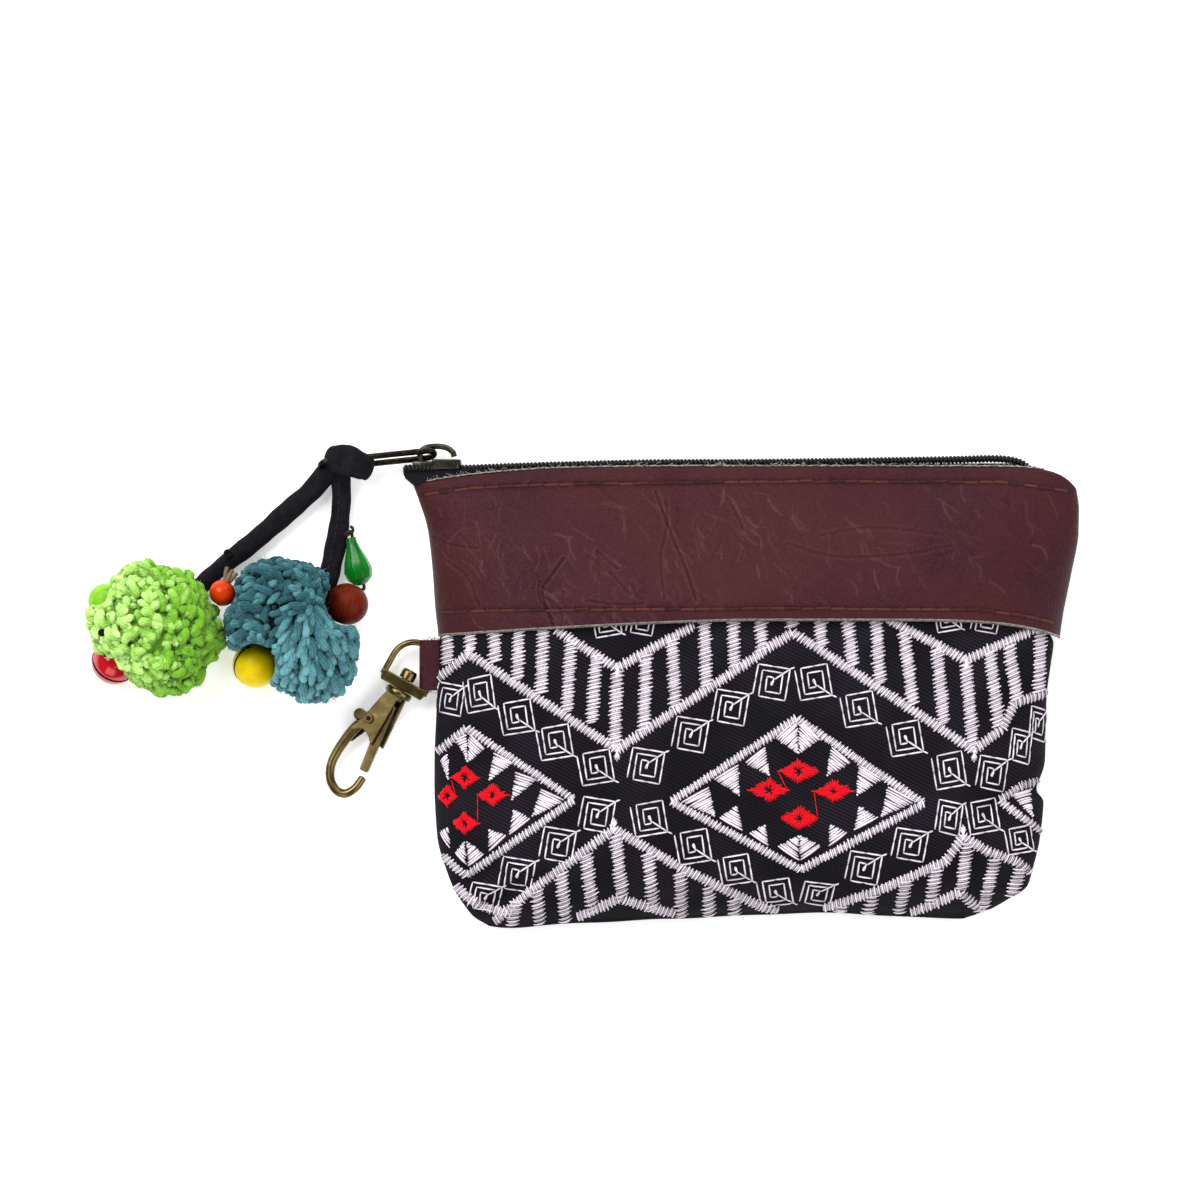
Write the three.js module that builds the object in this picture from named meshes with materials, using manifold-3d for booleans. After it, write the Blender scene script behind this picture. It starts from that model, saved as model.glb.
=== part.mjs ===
// Zip coin purse lying on its back: a leather band over an embroidered cloth pouch, a trigger clasp
// on a side tab, and a charm of pompoms, bells and beads on the zip pull.
// Millimetres. +X runs along the zip, +Y points from the pouch's bottom to the zip, and +Z is up
// from the surface the purse lies on. The origin is on that surface, under the middle of the purse.
import * as THREE from 'three';
import { mergeVertices } from 'three/addons/utils/BufferGeometryUtils.js';
import Module from 'manifold-3d';

const wasm = await Module();
wasm.setup();

// Fits
const GAP = 0.3;

// Facets round a bead, a bell or a turned pin
const BEAD_SIDES = 12;
const BEAD_RINGS = 8;

// Cloth and leather walls
const CLOTH_WALL = 1.2;
const LEATHER_WALL = 1.3;
const SEAM_HEIGHT = 2.9;
const FACE_STEPS = 20;
const BACK_FLATNESS = 12;

// Zip
const ZIP_LINE_Y = 44.6;
const ZIP_HEIGHT = 3.3;
const COIL_RADIUS = 1.05;
const TAPE_THICKNESS = 0.7;
const TAPE_TOP_Y = 43.25;
const SLIDER = { left: -57.3, right: -47.5, bottom: 43.5, top: 45.3, width: 4.8 };
const BAIL_RADIUS = 0.45;
const PULL = { wire: 0.45, width: 3.0, tilt: THREE.MathUtils.degToRad(65) };
const PULL_RIGHT = new THREE.Vector3(-52.3, 46.9, ZIP_HEIGHT);
const PULL_LEFT = new THREE.Vector3(-76.3, 44.5, 4.5);

// Side tab and clasp; the clasp is drawn along its swivel axis, then turned to where it lies
const TAB = { left: -55.5, right: -52.7, low: -0.8, high: 9.3, wall: 1.2, slot: 1.8 };
const CLASP_CENTRE = new THREE.Vector3(-59.5, 0.5, SEAM_HEIGHT);
const CLASP_HEADING = THREE.MathUtils.degToRad(240.8);
const CLASP_ROLL = THREE.MathUtils.degToRad(10);
const EYE = { wire: 0.58, halfWidth: 4.6, straight: 4.2, barThickness: 1.8, barHeight: 3.0 };
const POST_RADIUS = 0.9;
const LEVER_THICKNESS = 1.6;
const PLATE_THICKNESS = 0.8;
const PIVOT = new THREE.Vector2(9.2, -2.0);
const PIN_RADIUS = 0.55;
const HOOK_BAR_RADIUS = 0.85;

// Charm
const STRAP_RADIUS = 2.1;
const STRAP_SIDES = 10;
const KNOT = { start: 1.9, length: 9.6, tall: 4.1, deep: 2.7, boreTall: 2.3, boreDeep: 0.85, round: 0.7 };
const BELL_WALL = 0.6;
const BELL_SLOT = 1.0;
const BEAD_HOLE = 0.6;
const YARN_FLAT = 0.15;

// Leather band, from the zip edge down to the raw lower edge. Bends say how late the ends turn.
const LEATHER_ROWS = [
  {
    left: -56.7, leftY: 40.3, midY: 43.5, right: 75.1, rightY: 38.9,
    leftBend: 8, rightBend: 20, front: 6.6, round: 10,
  },
  {
    left: -55.3, leftY: 36.7, midY: 38.4, right: 76.1, rightY: 35.1,
    leftBend: 6, rightBend: 16, front: 8.4, round: 8,
  },
  {
    left: -53.9, leftY: 31.3, midY: 31.3, right: 76.2, rightY: 30.5,
    leftBend: 4, rightBend: 8, front: 11.4, round: 5,
  },
  {
    left: -53.3, leftY: 23.7, midY: 24.0, right: 74.7, rightY: 22.3,
    leftBend: 3, rightBend: 8, front: 14.2, round: 4,
  },
  {
    left: -52.7, leftY: 15.5, midY: 17.5, right: 73.1, rightY: 14.3,
    leftBend: 2, rightBend: 7, front: 16.4, round: 3.4,
  },
  {
    left: -52.1, leftY: 10.5, midY: 13.6, right: 72.5, rightY: 10.1,
    leftBend: 1.4, rightBend: 7, front: 17.1, round: 3.4,
  },
].map((row) => ({ ...row, back: 0, wave: 0 }));

// Cloth pouch, from under the leather down to the bottom fold. Wave is the share of the hem's wave.
const CLOTH_ROWS = [
  { y: 17.0, left: -50.7, right: 71.3, front: 14.4, back: 1.7, wave: 0 },
  { y: 11.0, left: -50.3, right: 70.5, front: 15.2, back: 1.7, wave: 0 },
  { y: 8.6, left: -51.2, right: 71.2, front: 15.8, back: 1.2, wave: 0 },
  { y: 4.0, left: -52.0, right: 70.6, front: 16.4, back: 0, wave: 0 },
  { y: -2.7, left: -52.3, right: 69.8, front: 17.0, back: 0, wave: 0 },
  { y: -14.7, left: -52.9, right: 69.5, front: 17.6, back: 0, wave: 0 },
  { y: -20.5, left: -52.9, right: 67.8, front: 17.4, back: 0, wave: 0 },
  { y: -23.3, left: -52.8, right: 69.2, front: 17.2, back: 0, wave: 0 },
  { y: -30.3, left: -52.3, right: 68.5, front: 16.6, back: 0, wave: 0.1 },
  { y: -36.5, left: -50.5, right: 67.1, front: 15.0, back: 0, wave: 0.3 },
  { y: -40.3, left: -48.9, right: 65.9, front: 13.2, back: 0.2, wave: 0.5 },
  { y: -42.9, left: -47.3, right: 61.3, front: 11.0, back: 0.6, wave: 0.7 },
  { y: -45.3, left: -45.3, right: 57.1, front: 8.4, back: 1.2, wave: 0.9 },
  { y: -46.9, left: -42.1, right: 52.7, front: 5.6, back: 2.0, wave: 1 },
].map(({ y, ...row }) => ({ ...row, leftY: y, midY: y, rightY: y, leftBend: 2, rightBend: 2, round: 3.4 }));

// The hem's wave along the bottom: where it lies from seam to seam, how wide, and how far it lifts
const HEM_WAVES = [
  { at: -0.9, width: 0.25, lift: -1.2 },
  { at: 0.42, width: 0.35, lift: 2.1 },
];

// Dents and folds of the front: a valley from one point to another
const FOLDS = [
  { fromX: 68.5, fromY: -20.5, toX: 58, toY: -24, depth: 2.2, width: 2.6 },
  { fromX: -50, fromY: -40.5, toX: -40, toY: -36, depth: 1.6, width: 2.4 },
  { fromX: 64, fromY: -40, toX: 54, toY: -35, depth: 1.6, width: 2.4 },
  { fromX: -30, fromY: 24, toX: -28, toY: 10, depth: 0.7, width: 3.0 },
  { fromX: -4, fromY: 40, toX: 2, toY: 18, depth: 0.8, width: 3.5 },
  { fromX: -20, fromY: -46, toX: 8, toY: -41, depth: 0.9, width: 3.0 },
];

// Strap strands, from the knot to the middle of their pompoms
const STRAP_LEFT_ROUTE = [
  [-74.7, 41.6, 2.8], [-75.8, 40.4, 2.6], [-77.2, 39.1, 2.4], [-78.8, 37.7, 2.3], [-80.6, 36.1, 2.3],
  [-82.6, 34.3, 2.3], [-84.8, 32.3, 2.3], [-87.0, 30.3, 2.3], [-89.2, 28.3, 2.3], [-91.4, 26.3, 2.4],
  [-93.5, 24.3, 2.6], [-95.6, 22.3, 2.9], [-97.6, 20.3, 3.4], [-99.6, 18.3, 4.1], [-101.6, 16.3, 4.9],
];
const STRAP_RIGHT_ROUTE = [
  [-70.2, 42.1, 2.8], [-70.7, 40.2, 2.5], [-71.1, 38.1, 2.3], [-71.5, 35.8, 2.3], [-72.0, 33.4, 2.3],
  [-72.5, 31.0, 2.3], [-73.0, 28.6, 2.3], [-73.5, 26.2, 2.3], [-74.2, 23.9, 2.3], [-75.2, 21.7, 2.4],
  [-76.5, 19.6, 2.6], [-78.0, 17.5, 3.0], [-79.5, 15.5, 3.6], [-81.0, 13.6, 4.3], [-82.4, 11.8, 5.1],
];

// Pompoms: middle, half sizes before the yarn's loops, turn about Z, and the loops' sizes
const POMPOMS = {
  lime: {
    middle: new THREE.Vector3(-108.4, 11.4, 10.2), half: new THREE.Vector3(11.7, 11.9, 10),
    turn: 0, loops: 32, loop: new THREE.Vector3(3.8, 2.7, 2.4),
  },
  teal: {
    middle: new THREE.Vector3(-81.2, 11.3, 10.2), half: new THREE.Vector3(11.1, 13.0, 10),
    turn: THREE.MathUtils.degToRad(22), loops: 32, loop: new THREE.Vector3(4.2, 2.6, 2.4),
  },
};

// Bells and beads where they lie
const RED_BELL = { middle: new THREE.Vector3(-117.7, 4.5, 4.7), radius: 4.6, slotTurn: 0.5 };
const YELLOW_BELL = { middle: new THREE.Vector3(-88.7, 4.3, 4.7), radius: 4.6, slotTurn: -0.9 };
const LIME_BEAD = { middle: new THREE.Vector3(-119.2, 17.6, 3.2), radius: 3.1 };
const ORANGE_BEAD = { middle: new THREE.Vector3(-95.4, 18.9, 7.7), radius: 2.7 };
const WOOD_BEAD = { middle: new THREE.Vector3(-70.1, 16.4, 4.4), radius: 4.3 };
const GREEN_DROP = {
  top: new THREE.Vector3(-69.1, 29.8, 3.1), heading: THREE.MathUtils.degToRad(-78), length: 9.8, radius: 2.9,
};

// Closed meshes and solids

/** A merged copy of a geometry that holds positions alone. */
function bareGeometry(geometry) {
  const copy = geometry.clone();
  copy.deleteAttribute('normal');
  copy.deleteAttribute('uv');
  return mergeVertices(copy);
}

/** A solid for joining and cutting, from a closed geometry. */
function solid(geometry) {
  const bare = bareGeometry(geometry);
  const mesh = new wasm.Mesh({
    numProp: 3,
    vertProperties: new Float32Array(bare.attributes.position.array),
    triVerts: new Uint32Array(bare.index.array),
  });
  return new wasm.Manifold(mesh);
}

/** The geometry of a joined or cut solid. */
function solidGeometry(manifold) {
  const mesh = manifold.getMesh();
  const geometry = new THREE.BufferGeometry();
  geometry.setAttribute('position', new THREE.BufferAttribute(mesh.vertProperties, 3));
  geometry.setIndex(new THREE.BufferAttribute(mesh.triVerts, 1));
  geometry.computeVertexNormals();
  return geometry;
}

/** All the given geometries joined into one solid. */
function joined(geometries) {
  return geometries.map(solid).reduce((whole, next) => whole.add(next));
}

/** A geometry from a list of points and the corners of its triangles. */
function indexedGeometry(points, triangles) {
  const geometry = new THREE.BufferGeometry();
  geometry.setFromPoints(points);
  geometry.setIndex(triangles);
  geometry.computeVertexNormals();
  return geometry;
}

/** The two triangles of a four-cornered face. */
function quad(a, b, c, d) {
  return [a, b, c, a, c, d];
}

/** A closed sheet between an outer and an inner grid of points, with its rim. */
function sheetGeometry(outer, inner) {
  const rows = outer.length;
  const columns = outer[0].length;
  const points = [...outer.flat(), ...inner.flat()];
  const out = (i, j) => i * columns + j;
  const into = (i, j) => rows * columns + i * columns + j;
  const triangles = [];
  for (let i = 0; i < rows - 1; i += 1) {
    for (let j = 0; j < columns - 1; j += 1) {
      triangles.push(...quad(out(i, j), out(i + 1, j), out(i + 1, j + 1), out(i, j + 1)));
      triangles.push(...quad(into(i, j), into(i, j + 1), into(i + 1, j + 1), into(i + 1, j)));
    }
    const last = columns - 1;
    triangles.push(...quad(out(i, 0), into(i, 0), into(i + 1, 0), out(i + 1, 0)));
    triangles.push(...quad(out(i, last), out(i + 1, last), into(i + 1, last), into(i, last)));
  }
  for (let j = 0; j < columns - 1; j += 1) {
    const last = rows - 1;
    triangles.push(...quad(out(0, j), out(0, j + 1), into(0, j + 1), into(0, j)));
    triangles.push(...quad(out(last, j), into(last, j), into(last, j + 1), out(last, j + 1)));
  }
  return indexedGeometry(points, triangles);
}

/** A bag between outer and inner rings, open at the first ring and closed at the last. */
function bagGeometry(outer, inner) {
  const rows = outer.length;
  const around = outer[0].length;
  const points = [...outer.flat(), ...inner.flat()];
  const out = (i, j) => i * around + (j % around);
  const into = (i, j) => rows * around + i * around + (j % around);
  const triangles = [];
  for (let j = 0; j < around; j += 1) {
    for (let i = 0; i < rows - 1; i += 1) {
      triangles.push(...quad(out(i, j), out(i + 1, j), out(i + 1, j + 1), out(i, j + 1)));
      triangles.push(...quad(into(i, j), into(i, j + 1), into(i + 1, j + 1), into(i + 1, j)));
    }
    triangles.push(...quad(out(0, j), out(0, j + 1), into(0, j + 1), into(0, j)));
  }
  // The last ring closes in strips between its front and back points.
  const end = rows - 1;
  for (let j = 0; j < around / 2; j += 1) {
    const far = around - j;
    triangles.push(...quad(out(end, j), out(end, far), out(end, far - 1), out(end, j + 1)));
    triangles.push(...quad(into(end, j), into(end, j + 1), into(end, far - 1), into(end, far)));
  }
  return indexedGeometry(points, triangles);
}

/** The corners of a regular polygon that stands for a circle. */
function circleShape(radius, sides) {
  const corners = Array.from({ length: sides }, (_, i) => {
    const angle = (2 * Math.PI * i) / sides;
    return new THREE.Vector2(radius * Math.cos(angle), radius * Math.sin(angle));
  });
  return new THREE.Shape(corners);
}

/** A round bar with closed ends along a curve. */
function barGeometry(curve, radius, sides, steps) {
  return new THREE.ExtrudeGeometry(circleShape(radius, sides), {
    extrudePath: curve, steps, bevelEnabled: false,
  });
}

/** A round bar along a closed flat loop whose plane has the given normal. */
function loopGeometry(points, normal, radius, sides) {
  const count = points.length;
  const vertices = [];
  const triangles = [];
  for (let i = 0; i < count; i += 1) {
    const ahead = points[(i + 1) % count].clone().sub(points[(i + count - 1) % count]).normalize();
    const side = ahead.clone().cross(normal).normalize();
    for (let k = 0; k < sides; k += 1) {
      const angle = (2 * Math.PI * k) / sides;
      const vertex = points[i].clone();
      vertex.addScaledVector(side, radius * Math.cos(angle));
      vertex.addScaledVector(normal, radius * Math.sin(angle));
      vertices.push(vertex);
      const next = (i + 1) % count;
      const turn = (k + 1) % sides;
      triangles.push(...quad(i * sides + k, next * sides + k, next * sides + turn, i * sides + turn));
    }
  }
  return indexedGeometry(vertices, triangles);
}

/** A smooth curve through [x, y, z] points. */
function route(points) {
  return new THREE.CatmullRomCurve3(points.map((p) => new THREE.Vector3(...p)), false, 'centripetal');
}

/** A flat outline given by [x, y] corners, extruded up from a height. */
function plateGeometry(corners, low, thickness) {
  const shape = new THREE.Shape(corners.map(([x, y]) => new THREE.Vector2(x, y)));
  const geometry = new THREE.ExtrudeGeometry(shape, { depth: thickness, bevelEnabled: false });
  geometry.translate(0, 0, low);
  return geometry;
}

/** A lathe turned about the X axis from [x, radius] points. */
function turnedGeometry(profile, sides) {
  const geometry = new THREE.LatheGeometry(profile.map(([x, r]) => new THREE.Vector2(r, x)), sides);
  geometry.rotateZ(-Math.PI / 2);
  return geometry;
}

/** A named mesh with its own finish. */
function piece(name, geometry, color, roughness, metalness = 0) {
  const mesh = new THREE.Mesh(geometry, new THREE.MeshStandardMaterial({ color, roughness, metalness }));
  mesh.name = name;
  return mesh;
}

// Purse surface

/** How far a fold's valley lowers the front at a point. */
function foldDepth(x, y) {
  let depth = 0;
  for (const fold of FOLDS) {
    const line = new THREE.Line3(
      new THREE.Vector3(fold.fromX, fold.fromY, 0), new THREE.Vector3(fold.toX, fold.toY, 0));
    const point = new THREE.Vector3(x, y, 0);
    const nearest = line.closestPointToPoint(point, true, new THREE.Vector3());
    depth += fold.depth * Math.exp(-((point.distanceTo(nearest) / fold.width) ** 2));
  }
  return depth;
}

/** The lift of the bottom hem at a place from -1 at the left seam to 1 at the right seam. */
function hemLift(across) {
  return HEM_WAVES.reduce(
    (lift, wave) => lift + wave.lift * Math.exp(-(((across - wave.at) / wave.width) ** 2)), 0);
}

/** A point of a row's front or back face, set in from the outer surface. */
function facePoint(row, across, isFront, inset) {
  const half = (row.right - row.left) / 2 - inset;
  const x = (row.right + row.left) / 2 + half * across;
  const isLeft = across < 0;
  const bend = Math.abs(across) ** (isLeft ? row.leftBend : row.rightBend);
  const endY = isLeft ? row.leftY : row.rightY;
  const y = row.midY + (endY - row.midY) * bend + row.wave * hemLift(across);
  if (!isFront) {
    const rise = Math.abs(across) ** BACK_FLATNESS;
    const low = row.back + inset;
    return new THREE.Vector3(x, y, low + (SEAM_HEIGHT - low) * rise);
  }
  const dome = Math.sqrt(Math.max(0, 1 - Math.abs(across) ** row.round));
  const crown = (row.front - inset - SEAM_HEIGHT) * dome;
  const fold = Math.min(foldDepth(x, y), crown / 2);
  return new THREE.Vector3(x, y, SEAM_HEIGHT + crown - fold);
}

/** Places from seam to seam, closer together at the seams. */
const ACROSS = Array.from({ length: FACE_STEPS + 1 }, (_, i) => -Math.cos((Math.PI * i) / FACE_STEPS));

/** One row's ring: the front from left to right, then the back from right to left. */
function ring(row, inset) {
  const front = ACROSS.map((across) => facePoint(row, across, true, inset));
  const back = ACROSS.slice(1, -1).reverse().map((across) => facePoint(row, across, false, inset));
  return [...front, ...back];
}

/** The cloth pouch, a hollow bag closed along its bottom fold. */
function clothPouch() {
  const outer = CLOTH_ROWS.map((row) => ring(row, 0));
  const inner = CLOTH_ROWS.map((row, i) => {
    const isLast = i === CLOTH_ROWS.length - 1;
    const points = ring(row, CLOTH_WALL);
    return isLast ? points.map((p) => p.setY(p.y + CLOTH_WALL)) : points;
  });
  return bagGeometry(outer, inner);
}

/** A leather band over the front or under the back, from seam to seam. */
function leatherBand(isFront) {
  const lift = (isFront ? GAP : -GAP) / 2;
  const grid = (inset) => LEATHER_ROWS.map((row) => ACROSS.map((across) => {
    const point = facePoint(row, across, isFront, inset);
    const limit = SEAM_HEIGHT + lift;
    return point.setZ(isFront ? Math.max(point.z, limit) : Math.min(point.z, limit));
  }));
  const [outer, inner] = [grid(0), grid(LEATHER_WALL)];
  return isFront ? sheetGeometry(outer, inner) : sheetGeometry(inner, outer);
}

// Zip

/** A zip tape: tucked under the leather along the middle, with a free end at the left. */
function zipTape(low) {
  const freeEnd = -58.9;
  const outline = [
    [freeEnd, TAPE_TOP_Y], [freeEnd + 0.6, 41.6], [-57.2, 40.9], [-52.6, 42.4], [-36.5, 42.6],
    [-36, 39.6], [58, 39.6], [58.5, TAPE_TOP_Y],
  ];
  return plateGeometry(outline, low, TAPE_THICKNESS);
}

/** The closed coil, from the slider to where it turns in behind the leather. */
function zipChain() {
  const start = SLIDER.right + GAP;
  const path = route([
    [start, ZIP_LINE_Y, ZIP_HEIGHT], [-20, ZIP_LINE_Y + 0.1, ZIP_HEIGHT], [20, ZIP_LINE_Y + 0.1, ZIP_HEIGHT],
    [58, ZIP_LINE_Y + 0.2, ZIP_HEIGHT], [64, ZIP_LINE_Y + 0.2, ZIP_HEIGHT],
    [67.6, ZIP_LINE_Y + 0.1, ZIP_HEIGHT],
  ]);
  return barGeometry(path, COIL_RADIUS, 8, 18);
}

/** The slider's body, narrowed at its nose, with the bail standing on it. */
function zipSlider() {
  const half = SLIDER.width / 2;
  const { left, right } = SLIDER;
  const body = plateGeometry([
    [left, -half * 0.6], [left + 2.4, -half], [right - 0.6, -half], [right, -half * 0.7],
    [right, half * 0.7], [right - 0.6, half], [left + 2.4, half], [left, half * 0.6],
  ], 0, SLIDER.top - SLIDER.bottom);
  body.rotateX(-Math.PI / 2);
  body.translate(0, SLIDER.bottom, ZIP_HEIGHT);
  const bail = barGeometry(route([
    [-55.7, SLIDER.top - 0.4, ZIP_HEIGHT], [-55.7, 46.8, ZIP_HEIGHT], [-54.6, 47.8, ZIP_HEIGHT],
    [-52.4, 48.1, ZIP_HEIGHT], [-50.4, 47.8, ZIP_HEIGHT], [-49.2, 46.9, ZIP_HEIGHT],
    [-48.9, 46.0, ZIP_HEIGHT],
  ]), BAIL_RADIUS, 8, 10);
  return solidGeometry(joined([body, bail]));
}

/** The pull's own axes: along it, across its loop, and square to the loop. */
function pullAxes() {
  const along = PULL_LEFT.clone().sub(PULL_RIGHT).normalize();
  const level = new THREE.Vector3(0, 0, 1).cross(along).negate().normalize();
  const up = along.clone().cross(level).negate().normalize();
  const across = level.clone().multiplyScalar(Math.cos(PULL.tilt)).addScaledVector(up, Math.sin(PULL.tilt));
  return { along, across, normal: along.clone().cross(across).normalize() };
}

/** The pull: a long round-ended loop of wire. */
function zipPull() {
  const { along, across, normal } = pullAxes();
  const radius = PULL.width / 2;
  const straight = PULL_LEFT.distanceTo(PULL_RIGHT) - PULL.width - 2 * PULL.wire;
  const first = PULL_RIGHT.clone().addScaledVector(along, radius + PULL.wire);
  const turns = 8;
  const points = [];
  for (let end = 0; end < 2; end += 1) {
    for (let i = 0; i <= turns; i += 1) {
      const angle = Math.PI * (end + i / turns - 0.5);
      const reach = (end === 0 ? straight : 0) + radius * Math.cos(angle);
      const point = first.clone().addScaledVector(along, reach);
      points.push(point.addScaledVector(across, radius * Math.sin(angle)));
    }
  }
  return loopGeometry(points, normal, PULL.wire, 6);
}

// Side tab and clasp

/** The eye's wire: a round arch that stands on the bar's two ends. */
function eyeArch(radius) {
  const points = [[0, -EYE.halfWidth, 0], [-EYE.straight / 2, -EYE.halfWidth, 0]];
  const turns = 8;
  for (let i = 0; i <= turns; i += 1) {
    const angle = (Math.PI * i) / turns;
    const reach = EYE.straight + EYE.halfWidth * Math.sin(angle);
    points.push([-reach, -EYE.halfWidth * Math.cos(angle), 0]);
  }
  points.push([-EYE.straight / 2, EYE.halfWidth, 0], [0, EYE.halfWidth, 0]);
  return barGeometry(route(points), radius, 8, 20);
}

/** Turns a geometry from the clasp's own axes to where the clasp lies, without its roll. */
function atClasp(geometry) {
  geometry.rotateZ(CLASP_HEADING);
  geometry.translate(CLASP_CENTRE.x, CLASP_CENTRE.y, CLASP_CENTRE.z);
  return geometry;
}

/** The leather tab, folded round the eye's wire and open towards the seam. */
function sideTab() {
  const half = TAB.slot / 2 + TAB.wall;
  const inner = TAB.slot / 2;
  const fold = plateGeometry([
    [TAB.right, half], [TAB.left + 1.4, half], [TAB.left, inner], [TAB.left, -inner], [TAB.left + 1.4, -half],
    [TAB.right, -half], [TAB.right, -inner], [TAB.left + TAB.wall, -inner], [TAB.left + TAB.wall, inner],
    [TAB.right, inner],
  ], 0, TAB.high - TAB.low);
  fold.rotateX(Math.PI / 2);
  fold.translate(0, TAB.high, SEAM_HEIGHT);
  return solidGeometry(solid(fold).subtract(solid(atClasp(eyeArch(EYE.wire + GAP)))));
}

/** The swivel eye: its arch on a flat bar that is bored for the post. */
function claspEye() {
  const half = EYE.barThickness / 2;
  const end = EYE.halfWidth + EYE.wire;
  const bar = plateGeometry([
    [-half, -end], [half, -end + 0.7], [half, end - 0.7], [-half, end],
  ], -EYE.barHeight / 2, EYE.barHeight);
  const bore = POST_RADIUS + GAP;
  const hole = turnedGeometry([[-2, 0], [-2, bore], [2, bore], [2, 0]], BEAD_SIDES);
  return solidGeometry(joined([bar, eyeArch(EYE.wire)]).subtract(solid(hole)));
}

/** The hook: rivet head, post, collar, channel body with its pivot pin, and the open hook. */
function claspHook() {
  const bar = EYE.barThickness / 2;
  const swivel = turnedGeometry([
    [-bar - 2.2, 0], [-bar - 2.1, 1.1], [-bar - 1.7, 1.5], [-bar - GAP, 1.5], [-bar - GAP, POST_RADIUS],
    [bar + GAP, POST_RADIUS], [bar + GAP, 2.0], [bar + 0.6, 2.25], [bar + 1.3, 2.25], [bar + 1.6, 1.9],
    [bar + 2.4, 1.3], [bar + 2.4, 0],
  ], BEAD_SIDES);
  const inside = LEVER_THICKNESS / 2 + GAP;
  const topPlate = plateGeometry([
    [2.4, -1.6], [7.4, -3.4], [11.6, -5.0], [13.0, -4.6], [11.6, -2.6], [12.6, -0.4], [14.0, 0.7], [2.4, 1.2],
  ], inside, PLATE_THICKNESS);
  const lowPlate = plateGeometry([
    [2.4, -1.6], [7.4, -3.4], [11.6, -5.0], [13.0, -4.6], [11.6, -2.6], [12.6, 0.2], [13.4, 2.7], [2.4, 2.3],
  ], -inside - PLATE_THICKNESS, PLATE_THICKNESS);
  const spine = plateGeometry([
    [2.4, -1.6], [6.4, -3.05], [6.4, -2.2], [2.6, -0.8],
  ], -inside - 0.1, 2 * inside + 0.2);
  const root = plateGeometry([
    [11.9, -5.05], [13.4, -4.9], [13.4, -3.4], [11.9, -3.5],
  ], -inside - 0.1, 2 * inside + 0.2);
  const pin = new THREE.CylinderGeometry(PIN_RADIUS, PIN_RADIUS, 2 * inside + 0.4, 10);
  pin.rotateX(Math.PI / 2);
  pin.translate(PIVOT.x, PIVOT.y, 0);
  const hook = barGeometry(route([
    [12.4, -4.3, 0], [15.2, -5.0, 0], [18.4, -5.2, 0], [21.4, -4.7, 0], [23.9, -3.2, 0], [25.2, -1.0, 0],
    [24.8, 0.9, 0], [23.0, 2.0, 0], [21.2, 2.3, 0], [20.0, 2.3, 0],
  ]), HOOK_BAR_RADIUS, 8, 18);
  return solidGeometry(joined([swivel, topPlate, lowPlate, spine, root, pin, hook]));
}

/** The lever: a gate bar that closes the hook, a web round the pin, and a thumb tab. */
function claspLever() {
  const half = LEVER_THICKNESS / 2;
  const gate = plateGeometry([
    [4.6, -0.4], [8.2, -0.6], [10.4, -0.4], [19.0, 0.7], [19.0, 2.2], [18.6, 2.5], [4.6, 1.2],
  ], -half, LEVER_THICKNESS);
  const web = plateGeometry([
    [7.9, -3.2], [10.5, -3.2], [10.9, 0.2], [7.6, 0.2],
  ], -half, LEVER_THICKNESS);
  const thumb = plateGeometry([
    [8.5, -2.6], [8.5, -5.2], [9.1, -6.1], [9.85, -6.35], [10.6, -6.1], [11.1, -5.4], [10.6, -4.2],
    [10.3, -2.6],
  ], -half, LEVER_THICKNESS);
  const bore = new THREE.CylinderGeometry(PIN_RADIUS + GAP, PIN_RADIUS + GAP, 2 * LEVER_THICKNESS, 10);
  bore.rotateX(Math.PI / 2);
  bore.translate(PIVOT.x, PIVOT.y, 0);
  return solidGeometry(joined([gate, web, thumb]).subtract(solid(bore)));
}

// Charm

/** A strap strand's tube, or a wider one that clears it. */
function strand(points, radius) {
  return barGeometry(route(points), radius, STRAP_SIDES, points.length);
}

/** Both strands' tubes grown by the gap that their neighbours keep. */
function clearStrands() {
  return [STRAP_LEFT_ROUTE, STRAP_RIGHT_ROUTE].map((points) => strand(points, STRAP_RADIUS + GAP));
}

/** The strap's knot: a rounded sleeve of cloth round the pull, notched where the strands leave. */
function strapKnot() {
  const { along, across, normal } = pullAxes();
  const shape = new THREE.Shape();
  shape.absellipse(0, 0, KNOT.tall - KNOT.round, KNOT.deep - KNOT.round, 0, 2 * Math.PI);
  const bore = new THREE.Path();
  bore.absellipse(0, 0, KNOT.boreTall + KNOT.round, KNOT.boreDeep + KNOT.round, 0, 2 * Math.PI);
  shape.holes.push(bore);
  const sleeve = new THREE.ExtrudeGeometry(shape, {
    depth: KNOT.length - 2 * KNOT.round, curveSegments: 6,
    bevelSize: KNOT.round, bevelThickness: KNOT.round, bevelSegments: 2,
  });
  const place = new THREE.Matrix4().makeBasis(across, normal, along);
  place.setPosition(PULL_LEFT.clone().addScaledVector(along, KNOT.round - KNOT.start - KNOT.length));
  sleeve.applyMatrix4(place);
  return solidGeometry(solid(sleeve).subtract(joined(clearStrands())));
}

/** A ball that stands for a bead or bell, grown by a gap. */
function ball(item, grow) {
  const geometry = new THREE.SphereGeometry(item.radius + grow, BEAD_SIDES, BEAD_RINGS);
  return geometry.translate(item.middle.x, item.middle.y, item.middle.z);
}

/** An upright round dent that leaves an item clear from above. */
function dent(item) {
  const height = 40;
  const geometry = new THREE.CylinderGeometry(item.radius + GAP, item.radius + GAP, height, BEAD_SIDES);
  geometry.rotateX(Math.PI / 2);
  return geometry.translate(item.middle.x, item.middle.y, item.middle.z - item.radius + height / 2);
}

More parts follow.
